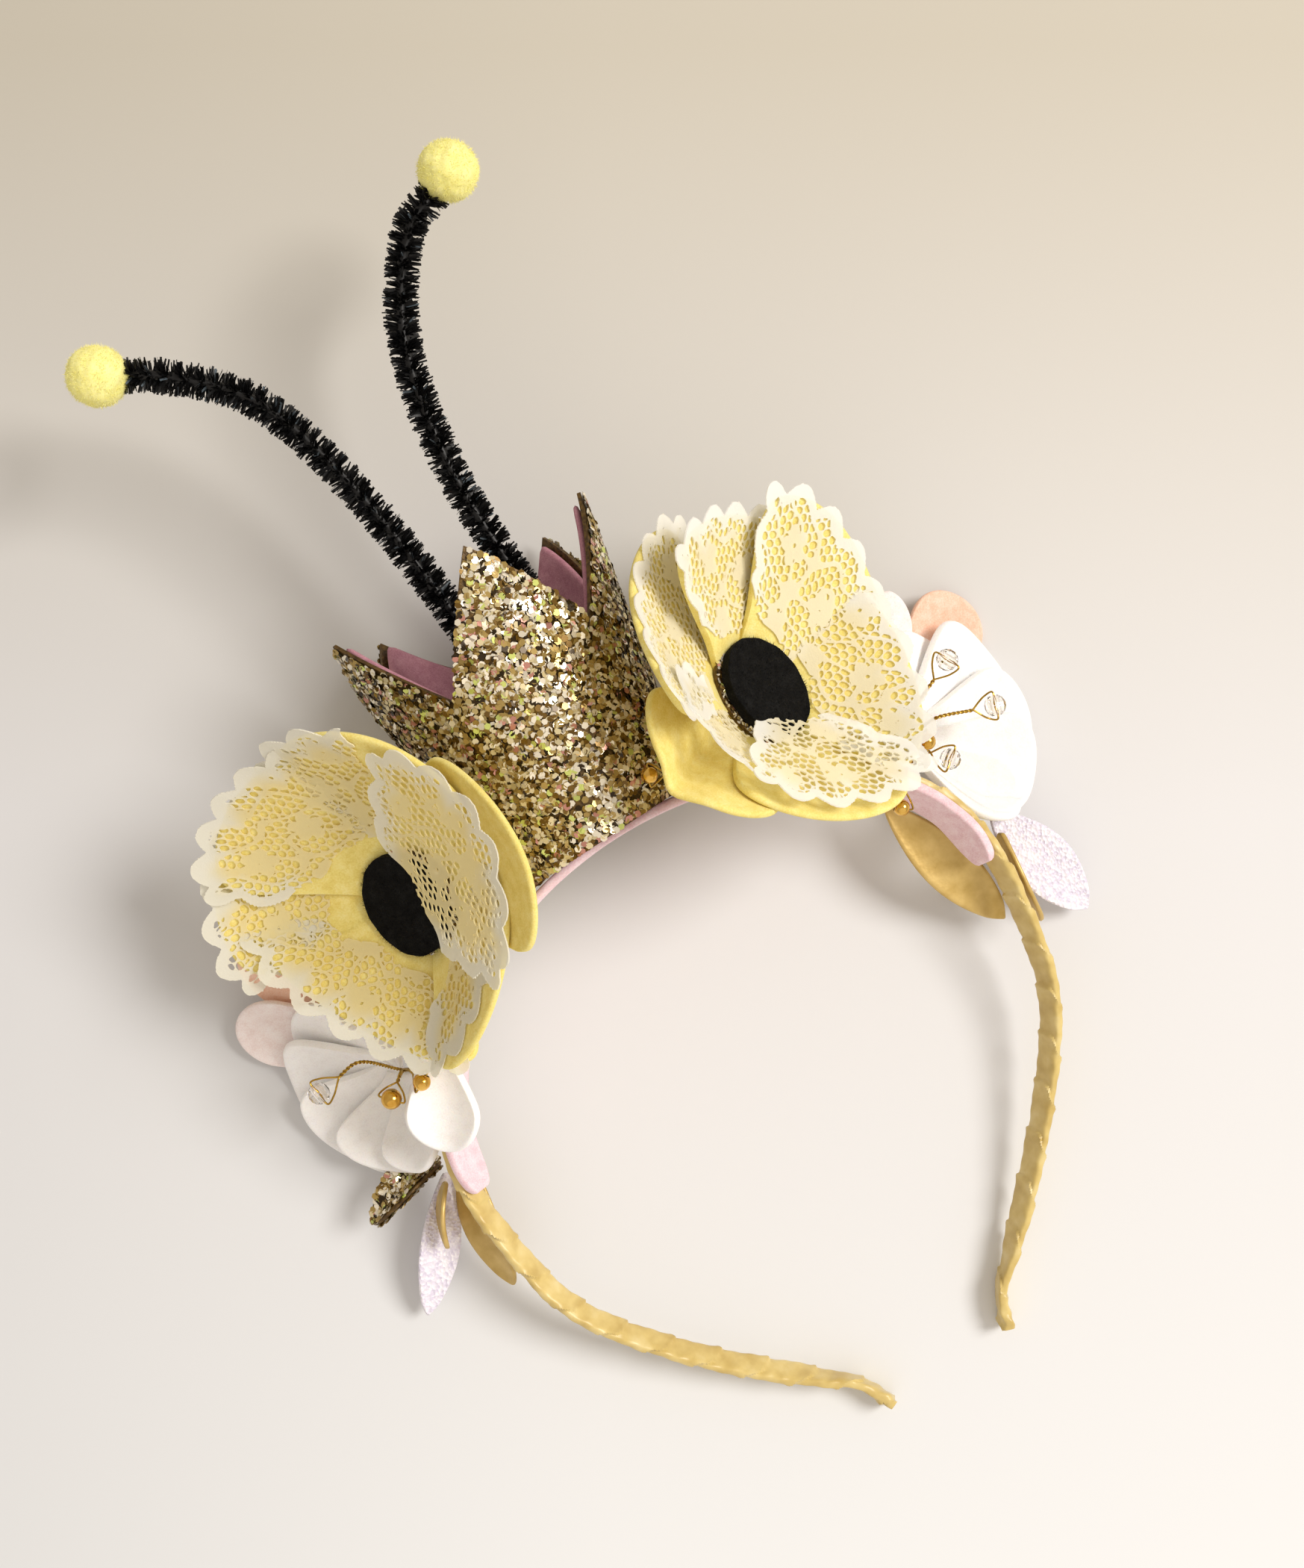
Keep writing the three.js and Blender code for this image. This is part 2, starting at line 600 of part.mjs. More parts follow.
// Drilled beads: a round profile for gold, a faceted one for crystal.
function beadGeometry(kind, radius) {
  const profile = [];
  const steps = kind === 'gold' ? 4 : 3;
  const reach = Math.acos(BORE_RADIUS / radius);
  for (let i = 0; i <= steps; i += 1) {
    const angle = -reach + (2 * reach * i) / steps;
    profile.push(new THREE.Vector2(radius * Math.cos(angle), radius * Math.sin(angle)));
  }
  profile.push(profile[0].clone());
  return new THREE.LatheGeometry(profile, BEAD_SIDES);
}

function wireSolid(points) {
  const curve = new THREE.CatmullRomCurve3(points, false, 'centripetal');
  const { normals, binormals } = curve.computeFrenetFrames(WIRE_STEPS);
  const rings = [];
  for (let i = 0; i <= WIRE_STEPS; i += 1) {
    const centre = curve.getPointAt(i / WIRE_STEPS);
    const ring = [];
    for (let side = 0; side < WIRE_SIDES; side += 1) {
      const angle = (2 * Math.PI * side) / WIRE_SIDES;
      ring.push(centre.clone()
        .addScaledVector(normals[i], WIRE_RADIUS * Math.cos(angle))
        .addScaledVector(binormals[i], WIRE_RADIUS * Math.sin(angle)));
    }
    rings.push(ring);
  }
  return ringSolid(rings);
}

for (const { name, foot, ends } of STAMENS) {
  const footCentre = new THREE.Vector3(foot.x, foot.y, foot.z);
  const footBall = welded(new THREE.SphereGeometry(WIRE_FOOT, 6, 4)).translate(...footCentre.toArray());
  const wires = ends.map((end, index) => {
    const centre = place(end);
    const via = place(end.via);
    const along = centre.clone().sub(via).normalize();
    const bead = addPiece(
      `${end.bead}_bead_${name}_${index + 1}`,
      beadGeometry(end.bead, end.radius),
      end.bead === 'gold' ? 'goldBead' : 'crystal',
    );
    bead.position.copy(centre);
    bead.quaternion.setFromUnitVectors(new THREE.Vector3(0, 1, 0), along);
    const before = centre.clone().addScaledVector(along, -end.radius);
    const after = centre.clone().addScaledVector(along, end.radius);
    return wireSolid([footCentre, via, before, after]);
  });
  addPiece(`stamen_wires_${name}`, fused([footBall, ...wires]), 'wire');
}

// A pointed leaf from its root to its tip, bowed along its length.
function leafSurface({ width, roll, bow, root, tip }) {
  const start = place(root);
  const span = place(tip).sub(start);
  const along = span.clone().normalize();
  const flatSide = new THREE.Vector3(0, 0, 1).cross(along).normalize();
  const side = flatSide.applyAxisAngle(along, radians(roll));
  const out = new THREE.Vector3().crossVectors(along, side);
  const stem = 0.22;
  return (u, v) => {
    const fan = stem + (1 - stem) * Math.sin(Math.PI * THREE.MathUtils.clamp(u, 0.03, 0.97));
    return start.clone()
      .addScaledVector(span, u)
      .addScaledVector(side, (v * fan * width) / 2)
      .addScaledVector(out, bow * (Math.sin(Math.PI * u) + 0.5 * v * v * fan));
  };
}

for (const leaf of LEAVES) {
  const solid = sheetSolid(leafSurface(leaf), LEAF_GRID, -LEAF_WALL / 2, LEAF_WALL / 2);
  addPiece(leaf.name, solid, leaf.finish);
}

// The origin is under the middle of the whole piece, on the floor.
const box = new THREE.Box3().setFromObject(headband, true);
const middle = box.getCenter(new THREE.Vector3());
const assembly = new THREE.Group();
assembly.add(headband);
headband.position.set(-middle.x, -middle.y, -box.min.z);

export default assembly;
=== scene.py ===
# %% [markdown]
# # A bee headband
#
# The headband lies on its back on a pale table and is seen from straight above. A satin ribbon is
# wound round a narrow steel arch. On the arch sit a glitter crown with a felt lining, two chenille
# antennae, two large felt flowers covered with lace, and a bunch of small flowers, stamens and
# leaves at each end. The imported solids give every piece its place. This lesson gives each of them
# the shape, the threads and the finish that the eye expects.

import math

import bpy
import numpy as np
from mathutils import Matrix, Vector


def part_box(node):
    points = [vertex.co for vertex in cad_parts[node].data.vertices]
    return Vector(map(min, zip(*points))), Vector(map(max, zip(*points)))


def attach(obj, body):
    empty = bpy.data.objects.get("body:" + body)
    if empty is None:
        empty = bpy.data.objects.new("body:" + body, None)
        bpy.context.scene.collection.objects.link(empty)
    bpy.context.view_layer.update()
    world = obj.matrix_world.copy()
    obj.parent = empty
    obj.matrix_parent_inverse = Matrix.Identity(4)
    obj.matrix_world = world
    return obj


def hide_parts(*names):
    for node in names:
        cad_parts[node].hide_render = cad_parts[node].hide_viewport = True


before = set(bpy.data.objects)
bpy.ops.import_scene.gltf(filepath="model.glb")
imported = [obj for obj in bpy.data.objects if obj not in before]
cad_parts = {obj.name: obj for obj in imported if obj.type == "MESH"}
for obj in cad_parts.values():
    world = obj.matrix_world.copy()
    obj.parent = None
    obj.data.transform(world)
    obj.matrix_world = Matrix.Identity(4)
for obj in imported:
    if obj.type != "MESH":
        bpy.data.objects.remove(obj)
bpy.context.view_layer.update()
print("solids in the frame:", len(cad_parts))

# %% [markdown]
# The places in this lesson are millimetres on the drawing of the solids. Places read from above
# were read on one plane, so `place` moves a point that lies higher towards the foot of the eye.
# One antenna ball, whose place is known in both frames, gives the step from the drawing to the frame.

# %% From the drawing to the frame
MM = 0.001
EYE_HEIGHT = 430
READ_HEIGHT = 25
EYE_X = 13
BALL_LEFT = (-35, 130.5, 40)
BALL_RIGHT = (47, 126, 40)


def place(point):
    x, y, z = point
    scale = (EYE_HEIGHT - z) / (EYE_HEIGHT - READ_HEIGHT)
    return np.array((EYE_X + (x - EYE_X) * scale, y * scale, z))


ball_low, ball_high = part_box("antenna_ball_left")
SHIFT = np.array((ball_low + ball_high) / 2) / MM - place(BALL_LEFT)


def in_frame(points):
    return (np.asarray(points, float) + SHIFT) * MM


print("step from drawing to frame, mm:", SHIFT.round(2))

# %% [markdown]
# ## Camera, table and light
#
# The picture was taken from straight above with the top of the headband turned to the upper left.
# A camera with no tilt keeps the table flat in the picture. A large soft window on the right of the
# picture gives the long pale shadows to the left. A wider, weaker light from the bottom of the
# picture and a weak sky fill them.

# %% Camera
PHOTO_TURN = math.radians(-33.5)
LENS_MM = 46.05
eye = in_frame((EYE_X, 0, EYE_HEIGHT))
bpy.ops.object.select_all(action="DESELECT")
bpy.ops.object.camera_add(location=eye, rotation=(0, 0, PHOTO_TURN))
camera = bpy.context.object
camera.data.lens = LENS_MM
camera.data.clip_start = 0.01
bpy.context.scene.camera = camera
print("eye above the table, m:", round(eye[2], 3))


# %% [markdown]
# ## Colours and nodes
#
# Colours are read as sRGB hex values, as in a paint program, but shaders count in linear light, so
# one function turns them over. One more function adds a shader node: an input that is a socket is
# linked, any other value is set on it, and a colour ramp gets its stops. Every material ends in one
# shader and the output.

# %% Helpers for materials
def linear(code):
    channels = [int(code[i:i + 2], 16) / 255 for i in (0, 2, 4)]
    return [c / 12.92 if c <= 0.04045 else ((c + 0.055) / 1.055) ** 2.4 for c in channels]


def colour(code):
    return (*linear(code), 1.0)


def per_mm(size):
    """Texture scale, on coordinates in metres, for a feature of that many millimetres."""
    return 1 / (size * MM)


def add(tree, kind, inputs, stops=(), **settings):
    node = tree.nodes.new("ShaderNode" + kind)
    for key, value in settings.items():
        setattr(node, key, value)
    for key, value in inputs.items():
        if isinstance(value, bpy.types.NodeSocket):
            tree.links.new(value, node.inputs[key])
        else:
            node.inputs[key].default_value = value
    if stops:
        elements = node.color_ramp.elements
        while len(elements) < len(stops):
            elements.new(0.5)
        for element, (position, code) in zip(elements, stops):
            element.position = position
            element.color = colour(code)
    return node


def new_material(name):
    material = bpy.data.materials.new(name)
    material.use_nodes = True
    material.node_tree.nodes.clear()
    return material, material.node_tree


def surface_of(tree, inputs):
    shader = add(tree, "BsdfPrincipled", inputs)
    add(tree, "OutputMaterial", {"Surface": shader.outputs["BSDF"]})


# %% [markdown]
# The table is a smooth painted board. Its colour runs from beige at the top of the picture to a cool
# white at the bottom. It is also a little darker on the left: painted shade, away from the window
# on the right.

# %% Table and window light
bpy.ops.object.select_all(action="DESELECT")
bpy.ops.mesh.primitive_plane_add(size=4)
table = bpy.context.object
table.name = "table"
painted_board, tree = new_material("painted_board")
where = add(tree, "TexCoord", {}).outputs["Object"]
turned = add(tree, "VectorRotate", {"Vector": where, "Angle": -PHOTO_TURN}, rotation_type="Z_AXIS")
turned = add(tree, "SeparateXYZ", {"Vector": turned.outputs["Vector"]})
up_run = add(tree, "MapRange", {"Value": turned.outputs["Y"], "From Min": -0.16, "From Max": 0.17})
side_run = add(tree, "MapRange", {"Value": turned.outputs["X"], "From Min": -0.14, "From Max": 0.14})
paint = [(0.0, "e9ecef"), (0.5, "e2e3e6"), (1.0, "ccc7ba")]
paint = add(tree, "ValToRGB", {"Fac": up_run.outputs["Result"]}, paint).outputs["Color"]
# Painted shade: darker towards the left, away from the window on the right.
shade = [(0.0, "e6e6e6"), (0.5, "f8f8f8"), (1.0, "ffffff")]
shade = add(tree, "ValToRGB", {"Fac": side_run.outputs["Result"]}, shade).outputs["Color"]
surface_of(tree, {
    "Base Color": add(tree, "VectorMath", {0: paint, 1: shade}, operation="MULTIPLY").outputs["Vector"],
    "Roughness": 0.62,
    "Specular IOR Level": 0.25,
})
table.data.materials.append(painted_board)


def soft_light(side, lean, spread, energy, code):
    """A sun, in degrees: its side in the picture, its lean from straight above and its spread."""
    bpy.ops.object.light_add(type="SUN", location=(0, 0, 1))
    sun = bpy.context.object
    sun.data.angle = math.radians(spread)
    sun.data.energy = energy
    sun.data.color = linear(code)
    sun.rotation_euler = (0, math.radians(lean), math.radians(side) + PHOTO_TURN)


soft_light(22, 43, 24, 2.45, "fffaf4")
soft_light(-80, 52, 90, 0.5, "fff6ee")

sky = bpy.data.worlds.new("room")
sky.use_nodes = True
sky.node_tree.nodes["Background"].inputs["Color"].default_value = colour("fef1e2")
sky.node_tree.nodes["Background"].inputs["Strength"].default_value = 0.57
bpy.context.scene.world = sky
bpy.context.scene.view_settings.view_transform = "Standard"


# %% [markdown]
# ## Materials
#
# Felt is matted wool: it has no gloss, it is a little uneven in colour, and loose fibres catch the
# light along its edges. Fine noise stands for the fibres, wider noise for the lumps, and sheen for
# the pale fuzz. The fibres of real felt are finer than a pixel, so they are drawn at 0.35 mm.

# %% Felt
FIBRE_MM = 0.35
LUMP_MM = 2.4


def felt(name, shade, body, light, bump=0.5, glow=0.12):
    material, tree = new_material(name)
    where = add(tree, "TexCoord", {}).outputs["Object"]
    fibres = add(tree, "TexNoise", {"Vector": where, "Scale": per_mm(FIBRE_MM), "Detail": 4.0})
    lumps = add(tree, "TexNoise", {"Vector": where, "Scale": per_mm(LUMP_MM), "Detail": 3.0})
    uneven = add(tree, "Math", {0: fibres.outputs["Fac"], 1: lumps.outputs["Fac"]}, operation="ADD")
    uneven = add(tree, "Math", {0: uneven.outputs[0], 1: 0.5}, operation="MULTIPLY")
    raised = add(tree, "Bump", {"Height": uneven.outputs[0], "Strength": bump, "Distance": 0.3 * MM})
    wool = add(tree, "ValToRGB", {"Fac": uneven.outputs[0]}, [(0.36, shade), (0.5, body), (0.66, light)])
    surface_of(tree, {
        "Base Color": wool.outputs["Color"],
        "Normal": raised.outputs["Normal"],
        "Roughness": 0.95,
        "Specular IOR Level": 0.15,
        "Sheen Weight": 0.35,
        "Sheen Roughness": 0.5,
        "Sheen Tint": colour(light),
        "Subsurface Weight": glow,
        "Subsurface Radius": (2.0 * MM, 1.6 * MM, 1.2 * MM),
        "Subsurface Scale": 1.0,
    })
    return material


yellow_felt = felt("yellow_wool_felt", "e3cf72", "eddc86", "f4e79e", glow=0.25)
white_felt = felt("white_wool_felt", "f3f1f1", "fbfafa", "ffffff", glow=0.35)
pink_felt = felt("pink_wool_felt", "e3bfc9", "edd1da", "f5e2e9")
# The lining is the same pink felt, painted darker: painted shade inside the crown.
pink_felt_in_painted_shade = felt("pink_wool_felt_painted_shade", "a87484", "b88492", "c797a3")
peach_felt = felt("peach_wool_felt", "ecbaa0", "f2c9b3", "f8d9c9")
pale_pink_felt = felt("pale_pink_wool_felt", "ecdbd9", "f4e8e7", "faf3f2")
lemon_felt = felt("lemon_felt_ball", "efe98e", "f4ef9c", "f8f4ac", bump=0.3)
black_felt = felt("black_wool_felt", "050505", "0b0b0b", "1a1a1a", bump=0.9, glow=0.0)
print("felts:", [m.name for m in (yellow_felt, white_felt, pink_felt, lemon_felt, black_felt)])

# %% [markdown]
# The lace is nylon thread: cream, slightly silky and so thin that the felt shows through it. The
# holes of its net are real holes in the mesh, so the material only needs the thread, with an alpha for
# each of its two faces. Each point carries a tint: paler on the free border and yellower further in,
# where the yellow is painted light thrown up from the felt. The left flower's lace is tinted a little
# darker, which is painted shade.

# %% Lace thread
TINT = "tint"
lace_thread, tree = new_material("cream_nylon_lace")
tint = add(tree, "Attribute", {}, attribute_name=TINT)
where = add(tree, "TexCoord", {}).outputs["Object"]
twist = add(tree, "TexNoise", {"Vector": where, "Scale": per_mm(0.4), "Detail": 3.0})
raised = add(tree, "Bump", {"Height": twist.outputs["Fac"], "Strength": 0.5, "Distance": 0.12 * MM})
surface_of(tree, {
    "Base Color": tint.outputs["Color"],
    "Normal": raised.outputs["Normal"],
    "Roughness": 0.6,
    "Sheen Weight": 0.2,
    "Alpha": 0.58,
})
print("lace:", lace_thread.name)

# %% [markdown]
# Satin ribbon has long floats of thread on its face, which give it a bright band of light across
# the threads. The UV map runs along the ribbon, so anisotropic gloss follows the weave.

# %% Satin ribbon
satin, tree = new_material("gold_satin_ribbon")
uv = add(tree, "TexCoord", {}).outputs["UV"]
where = add(tree, "TexCoord", {}).outputs["Object"]
cloudy = add(tree, "TexNoise", {"Vector": where, "Scale": per_mm(5), "Detail": 3.0})
threads = add(tree, "TexWave", {"Vector": uv, "Scale": 40.0, "Distortion": 0.6}, bands_direction="Y")
raised = add(tree, "Bump", {"Height": threads.outputs["Fac"], "Strength": 0.2, "Distance": 0.1 * MM})
direction = add(tree, "Tangent", {}, direction_type="UV_MAP")
golds = [(0.3, "c2a75e"), (0.55, "d6bf78"), (0.8, "e4d298")]
surface_of(tree, {
    "Base Color": add(tree, "ValToRGB", {"Fac": cloudy.outputs["Fac"]}, golds).outputs["Color"],
    "Normal": raised.outputs["Normal"],
    "Tangent": direction.outputs["Tangent"],
    "Roughness": 0.34,
    "Anisotropic": 0.6,
    "Sheen Weight": 0.15,
})
print("ribbon:", satin.name)

# %% [markdown]
# Glitter cloth is a woven backing with polyester flakes glued on it. Each flake is a small mirror
# with its own tint, which also carries painted reflections, so the flakes are modelled and carry a
# colour attribute. The backing between them is only a dark gold glue, painted dark enough to stand
# for the shade in the gaps between the flakes.

# %% Glitter
flake_metal, tree = new_material("glitter_flake_polyester")
tint = add(tree, "Attribute", {}, attribute_name=TINT)
surface_of(tree, {"Base Color": tint.outputs["Color"], "Metallic": 0.5, "Roughness": 0.2})

glitter_backing, tree = new_material("glitter_backing_glue_painted_shade")
where = add(tree, "TexCoord", {}).outputs["Object"]
grain = add(tree, "TexNoise", {"Vector": where, "Scale": per_mm(0.9), "Detail": 4.0})
raised = add(tree, "Bump", {"Height": grain.outputs["Fac"], "Strength": 0.8, "Distance": 0.3 * MM})
# Painted shade: the glue is a dark brown gold, as the shade in the gaps between the flakes.
glue_and_painted_shade = add(tree, "ValToRGB", {"Fac": grain.outputs["Fac"]}, [(0.35, "3f2d12"), (0.65, "6e5426")])
surface_of(tree, {
    "Base Color": glue_and_painted_shade.outputs["Color"],
    "Normal": raised.outputs["Normal"],
    "Metallic": 0.4,
    "Roughness": 0.45,
})
print("glitter:", flake_metal.name, "on", glitter_backing.name)

# %% [markdown]
# Chenille stems are cut tinsel between two twisted wires. The blades are black film: dark, with sharp
# glints from their gloss. A tint attribute on each blade gives its colour: black, and a pale bluish grey
# on a few blades, which are painted glints. Craft wire is drawn brass, slightly worn, and the gold beads
# are plated and polished. The crystals are cut glass.
# Their index is lower than that of real glass, which bends the light less and keeps such small beads
# clear on the pale table. Leatherette is gold film on embossed plastic, with a fine grain, and white
# glitter is coarse grit on cloth.

# %% Tinsel, wire, beads, leaves
tinsel, tree = new_material("black_tinsel_film")
tint = add(tree, "Attribute", {}, attribute_name=TINT)
surface_of(tree, {"Base Color": tint.outputs["Color"], "Roughness": 0.45, "Specular IOR Level": 0.4})

brass_wire, tree = new_material("brass_craft_wire")
where = add(tree, "TexCoord", {}).outputs["Object"]
worn = add(tree, "TexNoise", {"Vector": where, "Scale": per_mm(1.5)})
brass = add(tree, "ValToRGB", {"Fac": worn.outputs["Fac"]}, [(0.3, "a5832f"), (0.7, "d0ab52")])
surface_of(tree, {
    "Base Color": brass.outputs["Color"],
    "Metallic": 1.0,
    "Roughness": 0.3,
})

gold_bead, tree = new_material("gold_plated_bead")
where = add(tree, "TexCoord", {}).outputs["Object"]
worn = add(tree, "TexNoise", {"Vector": where, "Scale": per_mm(2.0)})
plating = add(tree, "ValToRGB", {"Fac": worn.outputs["Fac"]}, [(0.3, "cf9a3a"), (0.7, "eec468")])
surface_of(tree, {
    "Base Color": plating.outputs["Color"],
    "Metallic": 1.0,
    "Roughness": 0.16,
})

cut_crystal, tree = new_material("cut_glass_crystal")
surface_of(tree, {
    "Base Color": colour("fbf8f4"),
    "Roughness": 0.04,
    "IOR": 1.3,
    "Transmission Weight": 1.0,
})

gold_leather, tree = new_material("gold_leatherette")
where = add(tree, "TexCoord", {}).outputs["Object"]
grain = add(tree, "TexVoronoi", {"Vector": where, "Scale": per_mm(0.8)})
patina = add(tree, "TexNoise", {"Vector": where, "Scale": per_mm(4.0), "Detail": 4.0})
raised = add(tree, "Bump", {"Height": grain.outputs["Distance"], "Strength": 0.25, "Distance": 0.1 * MM})
film = add(tree, "ValToRGB", {"Fac": patina.outputs["Fac"]}, [(0.3, "bb9d55"), (0.7, "d6ba76")])
surface_of(tree, {
    "Base Color": film.outputs["Color"],
    "Normal": raised.outputs["Normal"],
    "Metallic": 0.35,
    "Roughness": 0.42,
})

white_glitter, tree = new_material("white_glitter_cloth")
where = add(tree, "TexCoord", {}).outputs["Object"]
grain = add(tree, "TexVoronoi", {"Vector": where, "Scale": per_mm(0.7)})
raised = add(tree, "Bump", {"Height": grain.outputs["Distance"], "Strength": 0.9, "Distance": 0.35 * MM})
grit = add(tree, "ValToRGB", {"Fac": grain.outputs["Color"]}, [(0.2, "dcd6ea"), (0.8, "f6f3fb")])
surface_of(tree, {
    "Base Color": grit.outputs["Color"],
    "Normal": raised.outputs["Normal"],
    "Roughness": 0.3,
    "Sheen Weight": 0.2,
})
print("materials:", len(bpy.data.materials))


# %% [markdown]
# ## Tools for cloth and small things
#
# Most pieces are cut cloth. A flat grid is added, its points are moved onto a curved surface, and
# Solidify and Subdivision give it thickness and soft edges. `u` runs along a piece from 0 to 1 and
# `v` across it from -1 to 1.

# %% Cloth from a grid
MERGE = 1e-6
SEAM = ("WELD", {"merge_threshold": MERGE})


def only(piece):
    bpy.ops.object.select_all(action="DESELECT")
    piece.select_set(True)
    bpy.context.view_layer.objects.active = piece


def points_of(mesh):
    points = np.empty(len(mesh.vertices) * 3)
    mesh.vertices.foreach_get("co", points)
    return points.reshape(-1, 3)


def move_points(mesh, points):
    mesh.vertices.foreach_set("co", np.asarray(points, np.float32).ravel())
    mesh.update()


def start_from(primitive, name, **settings):
    bpy.ops.object.select_all(action="DESELECT")
    primitive(**settings)
    piece = bpy.context.object
    piece.name = name
    return piece


def grid_piece(name, columns, rows, surface):
    grid = bpy.ops.mesh.primitive_grid_add
    piece = start_from(grid, name, x_subdivisions=columns, y_subdivisions=rows, size=2)
    piece.data.name = name
    flat = points_of(piece.data)
    move_points(piece.data, in_frame(surface((flat[:, 1] + 1) / 2, flat[:, 0])))
    return piece


def shape_with(piece, *steps):
    only(piece)
    for kind, settings in steps:
        bpy.ops.object.modifier_add(type=kind)
        modifier = piece.modifiers[-1]
        for key, value in settings.items():
            setattr(modifier, key, value)
        bpy.ops.object.modifier_apply(modifier=modifier.name)


def tidy_mesh(piece, angle=60):
    only(piece)
    bpy.ops.object.mode_set(mode="EDIT")
    bpy.ops.mesh.select_all(action="SELECT")
    bpy.ops.mesh.remove_doubles(threshold=MERGE)
    bpy.ops.mesh.normals_make_consistent(inside=False)
    bpy.ops.object.mode_set(mode="OBJECT")
    bpy.ops.object.shade_smooth_by_angle(angle=math.radians(angle))


def wall(thickness, offset=0.0, levels=1):
    solid = ("SOLIDIFY", {"thickness": thickness * MM, "offset": offset, "use_even_offset": True})
    soft = ("SUBSURF", {"levels": levels, "render_levels": levels})
    return [solid, soft] if levels else [solid]


def cut_cloth(name, columns, rows, surface, thickness):
    piece = grid_piece(name, columns, rows, surface)
    shape_with(piece, *wall(thickness))
    tidy_mesh(piece)
    return piece


def dress(piece, material, slot, *nodes):
    piece.data.materials.clear()
    piece.data.materials.append(material)
    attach(piece, "root")
    if nodes:
        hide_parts(*nodes)
    return piece


# %% [markdown]
# Flakes, tinsel blades and fibres are thousands of copies of one tiny shape. Arrays place them all
# at once: a template of a few points is turned, scaled and moved for each copy, and the copies become
# one mesh with a tint on each.

# %% Many copies of a tiny shape
UP = np.array((0.0, 0.0, 1.0))


def unit(vectors):
    return vectors / np.linalg.norm(vectors, axis=-1, keepdims=True)


def axes_along(normals, spins):
    """Three axes for each copy: the last along its normal, the first two spun about it."""
    helper = np.where(np.abs(normals[:, 2:3]) < 0.9, UP, np.array((1.0, 0.0, 0.0)))
    first = unit(np.cross(helper, normals))
    second = np.cross(normals, first)
    turn = np.stack([np.cos(spins), np.sin(spins)])[:, :, None]
    return turn[0] * first + turn[1] * second, turn[0] * second - turn[1] * first, normals


def tint_points(mesh, tints):
    rgba = np.ones((len(mesh.vertices), 4), np.float32)
    rgba[:, :3] = tints
    mesh.color_attributes.new(TINT, "FLOAT_COLOR", "POINT").data.foreach_set("color", rgba.ravel())


def copies(name, template, faces, centres, axes, sizes, tints):
    template = np.asarray(template, float)
    scaled = template[None, :, :] * sizes[:, None, :]
    points = sum(scaled[:, :, k:k + 1] * axes[k][:, None, :] for k in range(3)) + centres[:, None, :]
    count, corners = points.shape[:2]
    starts = np.arange(count)[:, None] * corners
    loops = np.concatenate([(starts + np.array(face)).ravel() for face in faces])
    lengths = np.concatenate([np.full(count, len(face)) for face in faces])
    mesh = bpy.data.meshes.new(name)
    mesh.vertices.add(count * corners)
    mesh.loops.add(len(loops))
    mesh.polygons.add(len(lengths))
    mesh.loops.foreach_set("vertex_index", loops)
    mesh.polygons.foreach_set("loop_start", np.concatenate(([0], np.cumsum(lengths)[:-1])))
    move_points(mesh, in_frame(points.reshape(-1, 3)))
    mesh.update(calc_edges=True)
    mesh.validate()
    mesh.shade_flat()
    tint_points(mesh, np.repeat(tints, corners, axis=0))
    piece = bpy.data.objects.new(name, mesh)
    bpy.context.scene.collection.objects.link(piece)
    return piece


HEXAGON = [(math.cos(k * math.pi / 3) / 2, math.sin(k * math.pi / 3) / 2, 0.5) for k in range(6)]
FLAKE = [*HEXAGON, (0, 0, -0.5)]
FLAKE_FACES = [(0, 1, 2, 3, 4, 5), *[((k + 1) % 6, k, 6) for k in range(6)]]
SPIKE = [(-0.5, -0.3, 0), (0.5, -0.3, 0), (0, 0.6, 0), (0, 0, 1)]
SPIKE_FACES = [(0, 2, 1), (0, 1, 3), (1, 2, 3), (2, 0, 3)]
print("faces of a flake:", len(FLAKE_FACES))


# %% [markdown]
# ## The arch
#
# The arch is a smooth curve through a few measured points. A Catmull-Rom curve passes through all
# of them, and evenly spaced samples let later steps count along it in millimetres. The stems and wires
# use the same helpers. The legs lean a little to the left and turn their face up, as in the picture.

# %% Smooth paths
STEP = 1e-3
SIDE_HELPER = (0.31, 0.42, 0.85)


def smooth_path(knots, count=1200):
    knots = np.asarray(knots, float)
    ends = np.vstack([2 * knots[0] - knots[1], knots, 2 * knots[-1] - knots[-2]])
    pieces = []
    for p0, p1, p2, p3 in zip(ends, ends[1:], ends[2:], ends[3:]):
        t1 = np.linalg.norm(p1 - p0) ** 0.5
        t2 = t1 + np.linalg.norm(p2 - p1) ** 0.5
        t3 = t2 + np.linalg.norm(p3 - p2) ** 0.5
        t = np.linspace(t1, t2, 32, endpoint=False)[:, None]
        a1 = ((t1 - t) * p0 + t * p1) / t1
        a2 = ((t2 - t) * p1 + (t - t1) * p2) / (t2 - t1)
        a3 = ((t3 - t) * p2 + (t - t2) * p3) / (t3 - t2)
        b1 = ((t2 - t) * a1 + t * a2) / t2
        b2 = ((t3 - t) * a2 + (t - t1) * a3) / (t3 - t1)
        pieces.append(((t2 - t) * b1 + (t - t1) * b2) / (t2 - t1))
    dense = np.vstack([*pieces, knots[-1:]])
    steps = np.concatenate(([0], np.cumsum(np.linalg.norm(np.diff(dense, axis=0), axis=1))))
    even = np.linspace(0, steps[-1], count)
    return np.stack([np.interp(even, steps, dense[:, k]) for k in range(3)], axis=1)


def path_at(path, t):
    steps = np.linspace(0, 1, len(path))
    return np.stack([np.interp(t, steps, path[:, k]) for k in range(3)], axis=-1)


def path_direction(path, t):
    return unit(path_at(path, np.minimum(t + STEP, 1)) - path_at(path, np.maximum(t - STEP, 0)))


def side_axes(along):
    """Two axes across each direction. No path runs along the helper."""
    first = unit(np.cross(along, SIDE_HELPER))
    return first, np.cross(along, first)


def around(first, second, angle):
    return first * np.cos(angle)[:, None] + second * np.sin(angle)[:, None]


def path_length(path):
    return float(np.linalg.norm(np.diff(path, axis=0), axis=1).sum())


def smooth(t):
    t = np.clip(t, 0, 1)
    return t * t * (3 - 2 * t)


